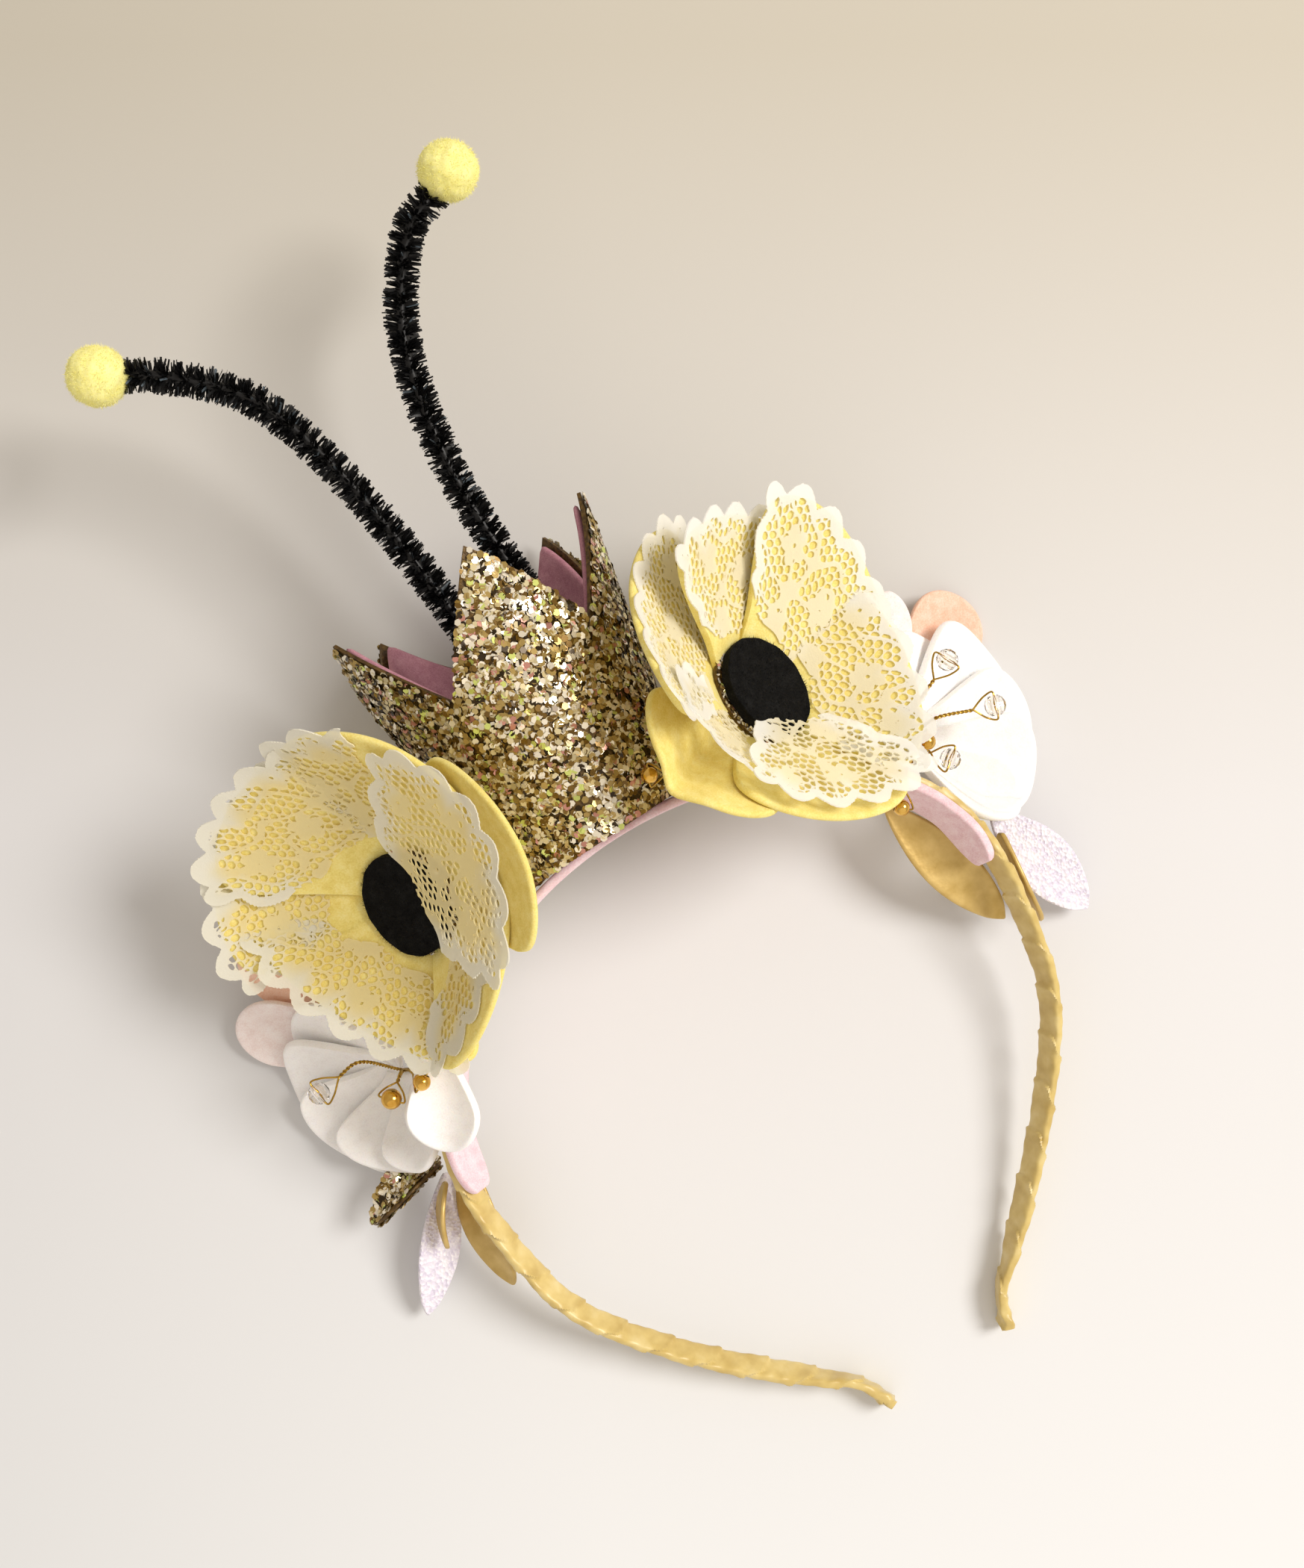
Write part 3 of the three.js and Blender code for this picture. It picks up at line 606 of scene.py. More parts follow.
# %% The arch's centre line
ARCH_HALF_WIDTH = 63.9
ARCH_SHOULDER_Y = -50
ARCH_APEX = (-1.5, 27)
ARCH_SLOPE = 0.184
ARCH_LEG = [
    (62.9, -66), (60.3, -79.5), (56, -88.5), (50, -97), (43.5, -105),
    (34.7, -114.5), (24, -125), (17.5, -131.5), (14.5, -138.6),
]
BAND_WIDTH = 5.5
BAND_THICKNESS = 2.0
LEG_TWIST = math.radians(32)
LEG_LEAN = -2.4
LEG_LEAN_FROM_Y = -40
LEG_LEAN_RUN = 70
LAP = 0.34


def arch_knot(x, y):
    shift = LEG_LEAN * np.clip((LEG_LEAN_FROM_Y - y) / LEG_LEAN_RUN, 0, 1)
    return (x + shift, y, max(BAND_WIDTH / 2 + LAP, ARCH_APEX[1] + (y - ARCH_APEX[0]) * ARCH_SLOPE))


turns = np.linspace(math.pi, 0, 13)
rise = ARCH_APEX[0] - ARCH_SHOULDER_Y
top_knots = [arch_knot(ARCH_HALF_WIDTH * math.cos(a), ARCH_SHOULDER_Y + rise * math.sin(a)) for a in turns]
left_knots = [arch_knot(-half, y) for half, y in reversed(ARCH_LEG)]
right_knots = [arch_knot(half, y) for half, y in ARCH_LEG]
ARCH = smooth_path(left_knots + top_knots + right_knots, 2400)
ARCH_LENGTH = path_length(ARCH)
print("arch length, mm:", round(ARCH_LENGTH))


def from_apex(t):
    """0 at the top of the arch and 1 at its tips."""
    return np.abs(t - 0.5) * 2


def arch_frame(t):
    """Centre of the band, and its two axes: out of its face and along its edge."""
    centre = path_at(ARCH, t)
    inward = unit(np.cross(path_direction(ARCH, t), UP))
    twist = LEG_TWIST * smooth((from_apex(t) - 0.15) / 0.35)
    twist = (twist * (1 - smooth((from_apex(t) - 0.86) / 0.1)))[:, None]
    face = inward * np.cos(twist) + UP * np.sin(twist)
    edge = UP * np.cos(twist) - inward * np.sin(twist)
    return centre, face, edge


# %% [markdown]
# The ribbon is wound round the band at a slant, so each turn covers the edge of the last one. The
# winding is a tube whose wall drops a little over each turn and steps up at the next edge. A few
# slow waves make the pull of the cloth, and they grow at the tips, where the ribbon is folded in.

# %% Satin winding
TURN_PITCH = 10.6
TURN_SLANT = 0.55
ROUNDING = 0.55
FOLD_FROM = 0.965
PINCH_FROM = 0.985


def between_ends(u):
    """0 at both ends of a tube, which closes it there, and 1 elsewhere."""
    return np.where((u < MERGE) | (u > 1 - MERGE), 0.0, 1.0)


def winding(u, v):
    centre, face, edge = arch_frame(u)
    angle = v * math.pi
    run = u * ARCH_LENGTH
    lap = np.mod(run / TURN_PITCH + TURN_SLANT * np.sin(angle - 0.6) / 2, 1)
    edge_roll = np.exp(-((lap - 0.03) / 0.05) ** 2)
    fold = smooth((from_apex(u) - FOLD_FROM) / 0.03)
    wave = np.sin(run * 1.7 + 3 * angle) + np.sin(run * 0.77 - 2 * angle + 1.3)
    proud = LAP * (0.75 - lap) + 0.12 * edge_roll + (0.05 + 0.16 * fold) * wave
    across = np.sign(np.cos(angle)) * np.abs(np.cos(angle)) ** ROUNDING
    out = np.sign(np.sin(angle)) * np.abs(np.sin(angle)) ** ROUNDING
    pinch = 1 - 0.18 * smooth((from_apex(u) - PINCH_FROM) / 0.015)
    half_width = (BAND_WIDTH / 2 + proud) * pinch * between_ends(u)
    half_thickness = (BAND_THICKNESS / 2 + proud + 0.25 * fold) * between_ends(u)
    return centre + edge * (across * half_width)[:, None] + face * (out * half_thickness)[:, None]


ribbon = grid_piece("satin_winding", 32, 820, winding)
shape_with(ribbon, SEAM, *wall(0.35, offset=-1.0, levels=0))
tidy_mesh(ribbon, 40)
dress(ribbon, satin, "satin_ribbon", "wrapped_band")

# %% [markdown]
# A felt strip is glued inside the arch, where it lies on the hair. It is cut by hand, so its edges
# wander a little, and it narrows to its ends. It starts as a grid along the arch.

# %% Felt strip
STRIP_WIDTH = 18.0
STRIP_WALL = 2.0
STRIP_END_Y = -50
STRIP_OFFSET = 2.6
reach = np.linspace(0, 0.5, 500)
STRIP_START = reach[np.argmax(path_at(ARCH, reach)[:, 1] >= STRIP_END_Y)]


def strip(u, v):
    t = STRIP_START + (1 - 2 * STRIP_START) * u
    centre, face, edge = arch_frame(t)
    half = STRIP_WIDTH / 2 + 0.35 * np.sin(u * 47) + 0.2 * np.sin(u * 113 + 1)
    from_end = np.minimum(u, 1 - u)
    half = half * (0.22 + 0.5 * smooth(from_end / 0.3) + 0.28 * np.clip(from_end / 0.03, 0, 1) ** 0.5)
    return centre + edge * (v * half)[:, None] + face * STRIP_OFFSET


base = cut_cloth("felt_strip", 12, 120, strip, STRIP_WALL)
dress(base, pink_felt, "pink_felt", "felt_base")

# %% [markdown]
# ## The crown
#
# The crown is a flared ring of glitter cloth with five points, lined with pink felt. Both layers are
# grids rolled round the crown's axis, with their upper edge pulled into points. The flakes come
# afterwards, scattered over the outer layer.

# %% Crown layers
CROWN_BASE_Y = -3.8
CROWN_AXIS_Z = 28.2
CROWN_BASE_RADIUS = 19.5
CROWN_TOP_RADIUS = 30.5
CROWN_NOTCH = 37.0
CROWN_PEAK = 60.0
CROWN_POINTS = 5
CROWN_TURN = math.radians(10)
CROWN_LEAN = 0.05
BACK_SHIFT = math.radians(15)
BACK_POINT = 0.4
GLITTER_WALL = 1.0
LINING_WALL = 1.5
GLUE_GAP = 0.35


def crown_top(turn):
    share = np.abs(np.mod(turn * CROWN_POINTS, 1) - 0.5) * 2
    return CROWN_NOTCH + (CROWN_PEAK - CROWN_NOTCH) * share


def crown_angle(turn):
    """Angle from straight up. One of the two back points is shifted towards its neighbour."""
    near = np.clip(1 - np.abs(np.mod(turn, 1) - BACK_POINT) * CROWN_POINTS, 0, 1)
    return CROWN_TURN + 2 * math.pi * turn - BACK_SHIFT * smooth(near)


def crown_foot(angle):
    """The lower edge rises where the band passes through it."""
    return 1.6 * smooth((np.abs(np.sin(angle)) - 0.95) / 0.04)


def crown_point(turn, height, depth):
    angle = crown_angle(turn)
    radius = CROWN_BASE_RADIUS + (CROWN_TOP_RADIUS - CROWN_BASE_RADIUS) * height / CROWN_PEAK - depth
    return np.stack([
        radius * np.sin(angle) + CROWN_LEAN * height,
        CROWN_BASE_Y + height,
        CROWN_AXIS_Z + radius * np.cos(angle),
    ], axis=-1)


def crown_layer(depth, lower):
    def surface(u, v):
        turn = (v + 1) / 2
        foot = crown_foot(crown_angle(turn))
        height = foot + (crown_top(turn) - lower - foot) * u
        return crown_point(turn, height, depth)
    return surface


crown = grid_piece("crown_cloth", 120, 24, crown_layer(GLITTER_WALL / 2, 0.0))
shape_with(crown, SEAM, *wall(GLITTER_WALL * 0.8, levels=0))
tidy_mesh(crown, 50)
dress(crown, glitter_backing, "glitter_fabric", "crown_glitter")

lining = grid_piece("crown_felt", 100, 20, crown_layer(GLITTER_WALL + GLUE_GAP + LINING_WALL / 2, 0.8))
shape_with(lining, SEAM, *wall(LINING_WALL * 0.92))
tidy_mesh(lining)
dress(lining, pink_felt_in_painted_shade, "pink_felt", "crown_lining")
print("crown faces:", len(crown.data.polygons), "and lining:", len(lining.data.polygons))

# %% [markdown]
# Chunky glitter is hexagonal flakes of about 1.4 mm that lie almost flat and overlap. Each flake gets
# a small random tilt, so at any moment only some of them mirror the window, and a tint from a short
# list: champagne, dark gold, pale silver, a near black brown, a little pink and a little yellow-green.
# The list is part the glitter's own colours and part painted reflection: the darkest tints stand for
# the dark room and the palest for the window mirrored in a flake, and the pink and yellow-green are
# painted glints. To the eye a flake is only its face, so its underside is a point in the glue.

# %% Flakes
dice = np.random.default_rng(7)
FLAKE_MM = 1.42
FLAKE_THICKNESS = 0.1
FLAKE_LIFT = (0.12, 0.45)
# Painted reflections and glints: the darkest and palest tints, and the pink and yellow-green.
FLAKE_COLOURS_AND_PAINTED_REFLECTIONS = np.array([linear(code) for code in (
    "f4ecd8", "ddcfa4", "ac9254", "72561f", "32240a", "c98f80", "d6e07e")])
FLAKE_SHARES = (0.26, 0.15, 0.2, 0.18, 0.11, 0.05, 0.05)


def flake_set(name, centres, normals, size=FLAKE_MM, tilt=0.2):
    count = len(centres)
    leaning = unit(normals + tilt * dice.normal(size=(count, 3)))
    axes = axes_along(leaning, dice.uniform(0, 2 * math.pi, count))
    lift = dice.uniform(*FLAKE_LIFT, count)[:, None]
    widths = size * dice.uniform(0.85, 1.1, count)
    sizes = np.column_stack([widths, widths, np.full(count, FLAKE_THICKNESS)])
    tints = FLAKE_COLOURS_AND_PAINTED_REFLECTIONS[dice.choice(len(FLAKE_COLOURS_AND_PAINTED_REFLECTIONS), count, p=FLAKE_SHARES)]
    tints = tints * dice.uniform(0.8, 1.1, (count, 1))
    piece = copies(name, FLAKE, FLAKE_FACES, centres + normals * lift, axes, sizes, tints)
    return dress(piece, flake_metal, "glitter_fabric")


FLAKE_TRIES = 26000
turn = dice.uniform(0, 1, FLAKE_TRIES)
height = dice.uniform(0, CROWN_PEAK, FLAKE_TRIES)
radius = CROWN_BASE_RADIUS + (CROWN_TOP_RADIUS - CROWN_BASE_RADIUS) * height / CROWN_PEAK
foot = crown_foot(crown_angle(turn))
kept = (height < crown_top(turn) - 0.4) & (height > foot + 0.3)
kept &= dice.uniform(0, CROWN_TOP_RADIUS, FLAKE_TRIES) < radius
kept &= in_frame(crown_point(turn, height, 0.0))[:, 2] > 0.7 * MM
turn, height = turn[kept], height[kept]
outer = crown_point(turn, height, 0.0)
outward = unit(np.cross(
    crown_point(turn + STEP / 10, height, 0.0) - outer, crown_point(turn, height + 0.1, 0.0) - outer))
flake_set("crown_flakes", outer, outward)
print("flakes on the crown:", len(turn))

# %% [markdown]
# ## Antennae
#
# A chenille stem has two twisted wires in its middle and thousands of tinsel blades between them.
# Each blade is a narrow strip that stands off the stem, and the blades follow the twist, so dense and
# open bands wind up the stem.

# %% Chenille stems
STEM_RADIUS = 3.6
STEM_TWIST_MM = 6.5
BLADES_PER_MM = 32
CORE_RADIUS = 1.1
BLADE_WIDTH = (0.42, 0.6)
BLADE_DEPTH = 0.16
PAINTED_GLINT_SHARE = 0.03
ROUTE_LEFT = [
    (-3.6, -0.1, 27), (-2.5, 24, 28), (-1.5, 50, 31), (-5.5, 90, 35), (-12, 110, 37), (-25, 124, 39),
]
ROUTE_RIGHT = [
    (8.2, -0.3, 27), (12, 22, 28), (13.2, 45, 31), (14.5, 78, 34), (21.5, 104, 36), (34, 120.5, 39),
]
BALL_RADIUS = 5.9
BLADE = [(-0.5, -0.5, 0), (0.5, -0.5, 0), (0.5, 0.5, 0), (-0.5, 0.5, 0), (-0.4, 0, 1), (0.4, 0, 1)]
BLADE_FACES = [(0, 3, 2, 1), (0, 1, 5, 4), (1, 2, 5), (2, 3, 4, 5), (3, 0, 4)]


def tube(name, path, radius, sides, rows):
    """A closed tube along a path, with its ends drawn in."""
    def surface(u, v):
        taper = radius * between_ends(u)[:, None]
        return path_at(path, u) + taper * around(*side_axes(path_direction(path, u)), v * math.pi)
    piece = grid_piece(name, sides, rows, surface)
    tidy_mesh(piece)
    return piece


def chenille(side, route, ball):
    knots = [place(point) for point in route]
    towards = unit(place(ball) - knots[-1])
    path = smooth_path([*knots, place(ball) - towards * (BALL_RADIUS - 0.4)])
    length = path_length(path)
    core = tube(f"chenille_core_{side}", path, CORE_RADIUS, 8, 90)
    dress(core, tinsel, "tinsel_chenille")
    tint_points(core.data, linear("08080a"))
    count = int(length * BLADES_PER_MM)
    u = dice.uniform(0.0, 1.0, count)
    along = path_direction(path, u)
    arm = np.where(dice.uniform(size=count) < 0.5, 0.0, math.pi)
    angle = 2 * math.pi * u * length / STEM_TWIST_MM + arm + dice.normal(0, 0.6, count)
    out = around(*side_axes(along), angle)
    lean = unit(out + along * dice.normal(0.1, 0.2, count)[:, None])
    axes = axes_along(lean, dice.uniform(0, 2 * math.pi, count))
    reach = STEM_RADIUS * dice.uniform(0.86, 1.06, count)
    sizes = np.column_stack([dice.uniform(*BLADE_WIDTH, count), np.full(count, BLADE_DEPTH), reach])
    # Painted glints: a few blades get a pale bluish grey instead of black.
    black, painted_glint = np.array(linear("060607")), np.array(linear("59646c"))
    painted_glint_blades = (dice.uniform(size=count) < PAINTED_GLINT_SHARE)[:, None]
    tints = np.where(painted_glint_blades, painted_glint, black * dice.uniform(0.7, 1.5, (count, 1)))
    blades = copies(f"chenille_blades_{side}", BLADE, BLADE_FACES, path_at(path, u), axes, sizes, tints)
    dress(blades, tinsel, "tinsel_chenille", f"antenna_stem_{side}")
    return count


for side, route, ball in (("left", ROUTE_LEFT, BALL_LEFT), ("right", ROUTE_RIGHT, BALL_RIGHT)):
    print("tinsel blades,", side, chenille(side, route, ball))

# %% [markdown]
# The balls are needle-felted wool: round, a little lumpy and fuzzy all over. An icosphere is pushed in
# and out by noise, and short fine fibres stand off it.

# %% Felt balls
FIBRES_PER_BALL = 2600
BALL_FIBRE_MM = 0.09


def felt_ball(side, ball):
    sphere = bpy.ops.mesh.primitive_ico_sphere_add
    piece = start_from(sphere, f"felt_ball_{side}", subdivisions=5, radius=1)
    directions = unit(points_of(piece.data))
    lump = np.sin(directions @ np.array((5.1, 3.7, 4.4)) + len(side))
    lump = lump + np.sin(directions @ np.array((-3.2, 6.3, 5.0)) * 1.7)
    lump = lump + 0.6 * np.sin(directions @ np.array((11.0, -9.0, 7.0)))
    move_points(piece.data, in_frame(place(ball) + directions * (BALL_RADIUS + 0.09 * lump)[:, None]))
    tidy_mesh(piece)
    dress(piece, lemon_felt, "lemon_felt", f"antenna_ball_{side}")
    out = unit(dice.normal(size=(FIBRES_PER_BALL, 3)))
    lean = unit(out + 0.8 * dice.normal(size=out.shape))
    axes = axes_along(lean, dice.uniform(0, 2 * math.pi, FIBRES_PER_BALL))
    width = np.full(FIBRES_PER_BALL, BALL_FIBRE_MM)
    sizes = np.column_stack([width, width, dice.uniform(0.35, 0.9, FIBRES_PER_BALL)])
    tints = np.tile(linear("f2ec8c"), (FIBRES_PER_BALL, 1))
    roots = place(ball) + out * BALL_RADIUS
    fuzz = copies(f"felt_fuzz_{side}", SPIKE, SPIKE_FACES, roots, axes, sizes, tints)
    dress(fuzz, lemon_felt, "lemon_felt")


felt_ball("left", BALL_LEFT)
felt_ball("right", BALL_RIGHT)
print("fibres on each ball:", FIBRES_PER_BALL)

# %% [markdown]
# ## Petals
#
# A petal is a wedge of felt that widens from its root, rises in a bow and cups up at its sides. One
# function gives a point of it in its flower's own axes, and another turns the flower to its place.
# `t` runs from root to tip, and `across` from one edge to the other. A petal names only what differs
# from the common form.

# %% Petal surface
PETAL_FORM = {
    "root": 3.0, "root_width": 0.3, "bow": 1.3, "cup": 0.14,
    "twist": 9, "pinch": 0.0, "ruffle": 0.7, "lift": 0.0,
}
PETAL_TIP = 0.42


def petal_fan(t, root_width):
    return root_width + (1 - root_width) * smooth(t / 0.75) - 0.06 * smooth((t - 0.75) / 0.4)


def tip_share(across):
    """How far out the edge lies: 1 in the middle, less at the sides, along a part of an ellipse."""
    return 1 - PETAL_TIP * (1 - np.sqrt(np.clip(1 - across ** 2, 0, 1)))


def petal_point(petal, t, across):
    form = {**PETAL_FORM, **petal}
    radius = form["root"] + t * (form["reach"] - form["root"])
    height = np.maximum(t, 0) ** form["bow"] * form["rise"]
    sideways = across * petal_fan(t, form["root_width"]) * form["width"] / 2
    twist = math.radians(form["twist"]) * smooth(t / 0.3)
    lift = form["cup"] * np.abs(sideways * across) + sideways * np.sin(twist)
    lift = lift - form["pinch"] * np.exp(-(across / 0.2) ** 2) * smooth(t / 0.5)
    ruffle = form["ruffle"] * np.sin(2.6 * across + form["turn"]) * t ** 2
    side = sideways * np.cos(twist)
    turn = math.radians(form["turn"])
    return np.stack([
        radius * math.cos(turn) - side * math.sin(turn),
        radius * math.sin(turn) + side * math.cos(turn),
        height + lift + ruffle + form["lift"],
    ], axis=-1)


def off_petal(petal, t, across, lift):
    """Points of the petal, moved off it along its normal."""
    along = petal_point(petal, t + STEP, across) - petal_point(petal, t - STEP, across)
    sideways = petal_point(petal, t, across + STEP) - petal_point(petal, t, across - STEP)
    return petal_point(petal, t, across) + lift * unit(np.cross(along, sideways))


def in_flower(flower, points):
    tilt = math.radians(flower["tilt"])
    x, y, z = points[..., 0], points[..., 1], points[..., 2]
    turned = np.stack([
        x * math.cos(tilt) + z * math.sin(tilt), y, z * math.cos(tilt) - x * math.sin(tilt)], axis=-1)
    return turned + np.array(flower["hub"])


def petal_sheet(flower, petal, drop=0.0, start=0.0):
    def surface(u, v):
        v = np.sin(v * math.pi / 2)
        t = start + (1 - start) * u * tip_share(v)
        return in_flower(flower, off_petal(petal, t, v, drop))
    return surface


# %% [markdown]
# ## The large flowers
#
# Each large flower has six yellow felt petals round a black felt disc. They are wide and overlap like
# roof tiles, because each one is twisted a little about its own length. For the lace, `from` is where
# it starts, in millimetres from the middle, `over` is its length in lengths of the petal, `lace` is the
# part of the width that it covers, and `lace_form` is what differs in its shape.

# %% Yellow petals
FELT_WALL = 1.4
# Each flower's lace tints are the border and the inner colour of its lace. The inner one is yellower,
# painted light from the felt, and the left flower's pair is darker, painted shade.
FLOWERS = [
    {
        "side": "left", "tilt": -42, "hub": (-36.3, 6.8, 35.2), "lace_tints_painted_light": ("f0eedf", "f4e6ac"),
        "petals": [
            {"turn": 50, "reach": 41, "rise": 17, "width": 42, "lace": (0.0, 1.0), "over": 1.06, "from": 14},
            {"turn": 97, "reach": 36, "rise": 18, "width": 48, "twist": 12, "over": 1.09, "from": 16,
             "lift": 1.5},
            {"turn": 132, "reach": 37, "rise": 19, "width": 46, "twist": 14, "over": 1.06, "from": 17},
            {"turn": 212, "reach": 25, "rise": 17, "width": 56, "twist": -6, "over": 1.12, "from": 13,
             "lace_form": {"width": 49}},
            {"turn": 304, "reach": 30, "rise": 15, "width": 46, "twist": -9, "over": 0.92, "from": 14},
            {"turn": 0, "reach": 43, "rise": 12, "width": 42, "twist": -9, "over": 1.1, "from": 13,
             "lace_form": {"turn": 4, "reach": 41, "rise": 17, "width": 44, "bow": 0.32}},
        ],
    },
    {
        "side": "right", "tilt": 48, "hub": (38.2, 3.4, 32.1), "lace_tints_painted_light": ("fdfdf8", "fbf4d6"),
        "petals": [
            {"turn": 25, "reach": 32, "rise": 22, "width": 48, "twist": 16, "over": 1.02, "from": 12},
            {"turn": 74, "reach": 32, "rise": 18, "width": 52, "over": 1.07, "from": 12},
            {"turn": 130, "reach": 38, "rise": 11, "width": 50, "over": 1.02, "from": 14},
            {"turn": 190, "reach": 39, "rise": 6, "width": 34, "over": 0.96, "from": 14,
             "cup": 0.3, "pinch": 4.0, "lace": (-1.0, 0.3),
             "lace_form": {"reach": 36, "rise": 15, "pinch": 0.0}},
            {"turn": 246, "reach": 33, "rise": 16, "width": 42, "over": 0.96, "from": 9,
             "lace_form": {"rise": 18, "bow": 0.55}},
            {"turn": 332, "reach": 27, "rise": 21, "width": 44, "twist": -6, "over": 1.05, "from": 12},
        ],
    },
]

for flower in FLOWERS:
    for index, petal in enumerate(flower["petals"], 1):
        name = f"yellow_petal_{flower['side']}_{index}"
        piece = cut_cloth(name, 20, 24, petal_sheet(flower, petal), FELT_WALL)
        dress(piece, yellow_felt, "yellow_felt", f"felt_petals_{flower['side']}")
print("yellow petals:", sum(len(flower["petals"]) for flower in FLOWERS))

# %% [markdown]
# A flower has to be held by something. Under each one a tab of the same felt runs from the outer face
# of the band up to the roots of the petals, where nobody sees it from above.

# %% Felt tabs
TAB_WIDTH = 14.0


def tab_surface(flower):
    nearest = np.argmin(np.linalg.norm(ARCH[:, :2] - np.array(flower["hub"])[:2], axis=1))
    centre, face, edge = arch_frame(np.array([nearest / (len(ARCH) - 1)]))
    along = np.cross(face[0], edge[0])
    foot = centre[0] - face[0] * (BAND_THICKNESS / 2 + LAP + FELT_WALL / 2)
    span = in_flower(flower, np.array((0.0, 0.0, -FELT_WALL / 2))) - foot

    def surface(u, v):
        return foot + u[:, None] * span + (v * TAB_WIDTH / 2)[:, None] * along
    return surface, float(np.linalg.norm(span))


for flower in FLOWERS:
    surface, length = tab_surface(flower)
    tab = cut_cloth(f"felt_tab_{flower['side']}", 8, 10, surface, FELT_WALL)
    dress(tab, yellow_felt, "yellow_felt")
    print("tab,", flower["side"], "mm:", TAB_WIDTH, "x", round(length, 1))

# %% [markdown]
# Lace is thread, not a printed film, so its holes are real. A pattern function is positive on thread
# and negative in a hole. The net is the sum of three cosines, which is a honeycomb. Vines and rosettes
# lie on it, and a solid scalloped border runs round the outer edge. Marching over a fine flat grid cuts
# the pattern out: each cell keeps its corners on thread and the points where the edge of a thread
# crosses its sides. The real net has cells of about 1 mm, which is too fine for the render, so it is
# drawn at 2 mm.

# %% Lace pattern
NET_MM = 2.0
NET_PULL = 0.45
NET_OPEN = 0.78
VINE_WAVES = 9
VINE_WIDTH = 0.5
ROSETTE_ROW_MM = 12.5
ROSETTE_COLUMN_MM = 13.0
ROSETTE_STRAY_MM = 1.5
LACE_STEP = 0.29
LACE_WALL = 0.28
SCALLOP_MM = 10.0
SCALLOP_DEPTH = 2.6
BORDER = 2.2


def net(a, b):
    """A honeycomb, pulled a little out of line as soft thread is."""
    a, b = a + NET_PULL * np.sin(0.7 * b), b + NET_PULL * np.sin(0.6 * a)
    k = 4 * math.pi / (math.sqrt(3) * NET_MM)
    waves = np.cos(k * a) + np.cos(k * (0.5 * a + 0.866 * b)) + np.cos(k * (0.5 * a - 0.866 * b))
    return 0.25 * (-NET_OPEN - waves)


def vines(a, b, seed):
    """Stems that wander: positive where a sum of random waves is near zero."""
    picks = np.random.default_rng(seed)
    total = np.zeros(a.shape)
    for _ in range(VINE_WAVES):
        angle = picks.uniform(0, math.pi)
        pace = 2 * math.pi / picks.uniform(7.0, 12.0)
        total += np.cos(pace * (a * math.cos(angle) + b * math.sin(angle)) + picks.uniform(0, 2 * math.pi))
    return 0.7 * (VINE_WIDTH - np.abs(total))


def rosettes(a, b, seed):
    """Five-petal flowers on a jittered lattice: positive inside a petal."""
    picks = np.random.default_rng(seed)
    best = np.full(a.shape, -9.0)
    for row in range(-1, 6):
        for column in range(-3, 4):
            stray_a, stray_b = picks.uniform(-ROSETTE_STRAY_MM, ROSETTE_STRAY_MM, 2)
            ca = row * ROSETTE_ROW_MM + stray_a
            cb = (column + 0.5 * (row % 2)) * ROSETTE_COLUMN_MM + stray_b
            r = np.hypot(a - ca, b - cb)
            angle = np.arctan2(b - cb, a - ca) + picks.uniform(0, 2 * math.pi)
            lobes = 2.2 + 1.5 * np.abs(np.cos(2.5 * angle))
            best = np.maximum(best, np.minimum(lobes - r, r - 0.45))
    return best


def marched(values, a, b):
    """Points (a, b) and faces of the region where the values are positive."""
    rows, columns = values.shape
    inside = values > 0
    numbers, points, faces = {}, [], []

    def corner(i, j):
        key = (i, j)
        if key not in numbers:
            numbers[key] = len(points)
            points.append((a[i], b[j]))
        return numbers[key]

    def crossing(i, j, m, n):
        key = (i, j, m, n) if (i, j) < (m, n) else (m, n, i, j)
        if key not in numbers:
            share = values[i, j] / (values[i, j] - values[m, n])
            numbers[key] = len(points)
            points.append((a[i] + (a[m] - a[i]) * share, b[j] + (b[n] - b[j]) * share))
        return numbers[key]

    any_inside = inside[:-1, :-1] | inside[1:, :-1] | inside[:-1, 1:] | inside[1:, 1:]
    for i, j in zip(*np.nonzero(any_inside)):
        ring = [(i, j), (i + 1, j), (i + 1, j + 1), (i, j + 1)]
        face = []
        for here, there in zip(ring, ring[1:] + ring[:1]):
            if inside[here]:
                face.append(corner(*here))
            if inside[here] != inside[there]:
                face.append(crossing(*here, *there))
        faces.append(face)
    return np.array(points), faces


# %% [markdown]
# The scallops are counted along the outer edge, so `edge_field` finds how far each flat point lies from
# that edge and how far round it. They begin at `EDGE_FROM`, a share of the length. The cut lace is then
# laid over its petal: each flat point becomes a share of the petal's length and of its width, and it is
# lifted clear of the felt. A slow wave keeps it loose. Some petals carry lace that stands up more
# steeply than the felt.

# %% Lace on the petals
LACE_GROWN = 1.16
LACE_LIFT = 0.38
LACE_SLACK = 1.03
EDGE_FROM = 0.3
EDGE_TIP_POINTS = 161
EDGE_SIDE_POINTS = 29


def lace_half(petal, share):
    fan = petal_fan(np.clip(share, 0, 1), PETAL_FORM["root_width"])
    return fan * petal["width"] / 2 * LACE_GROWN


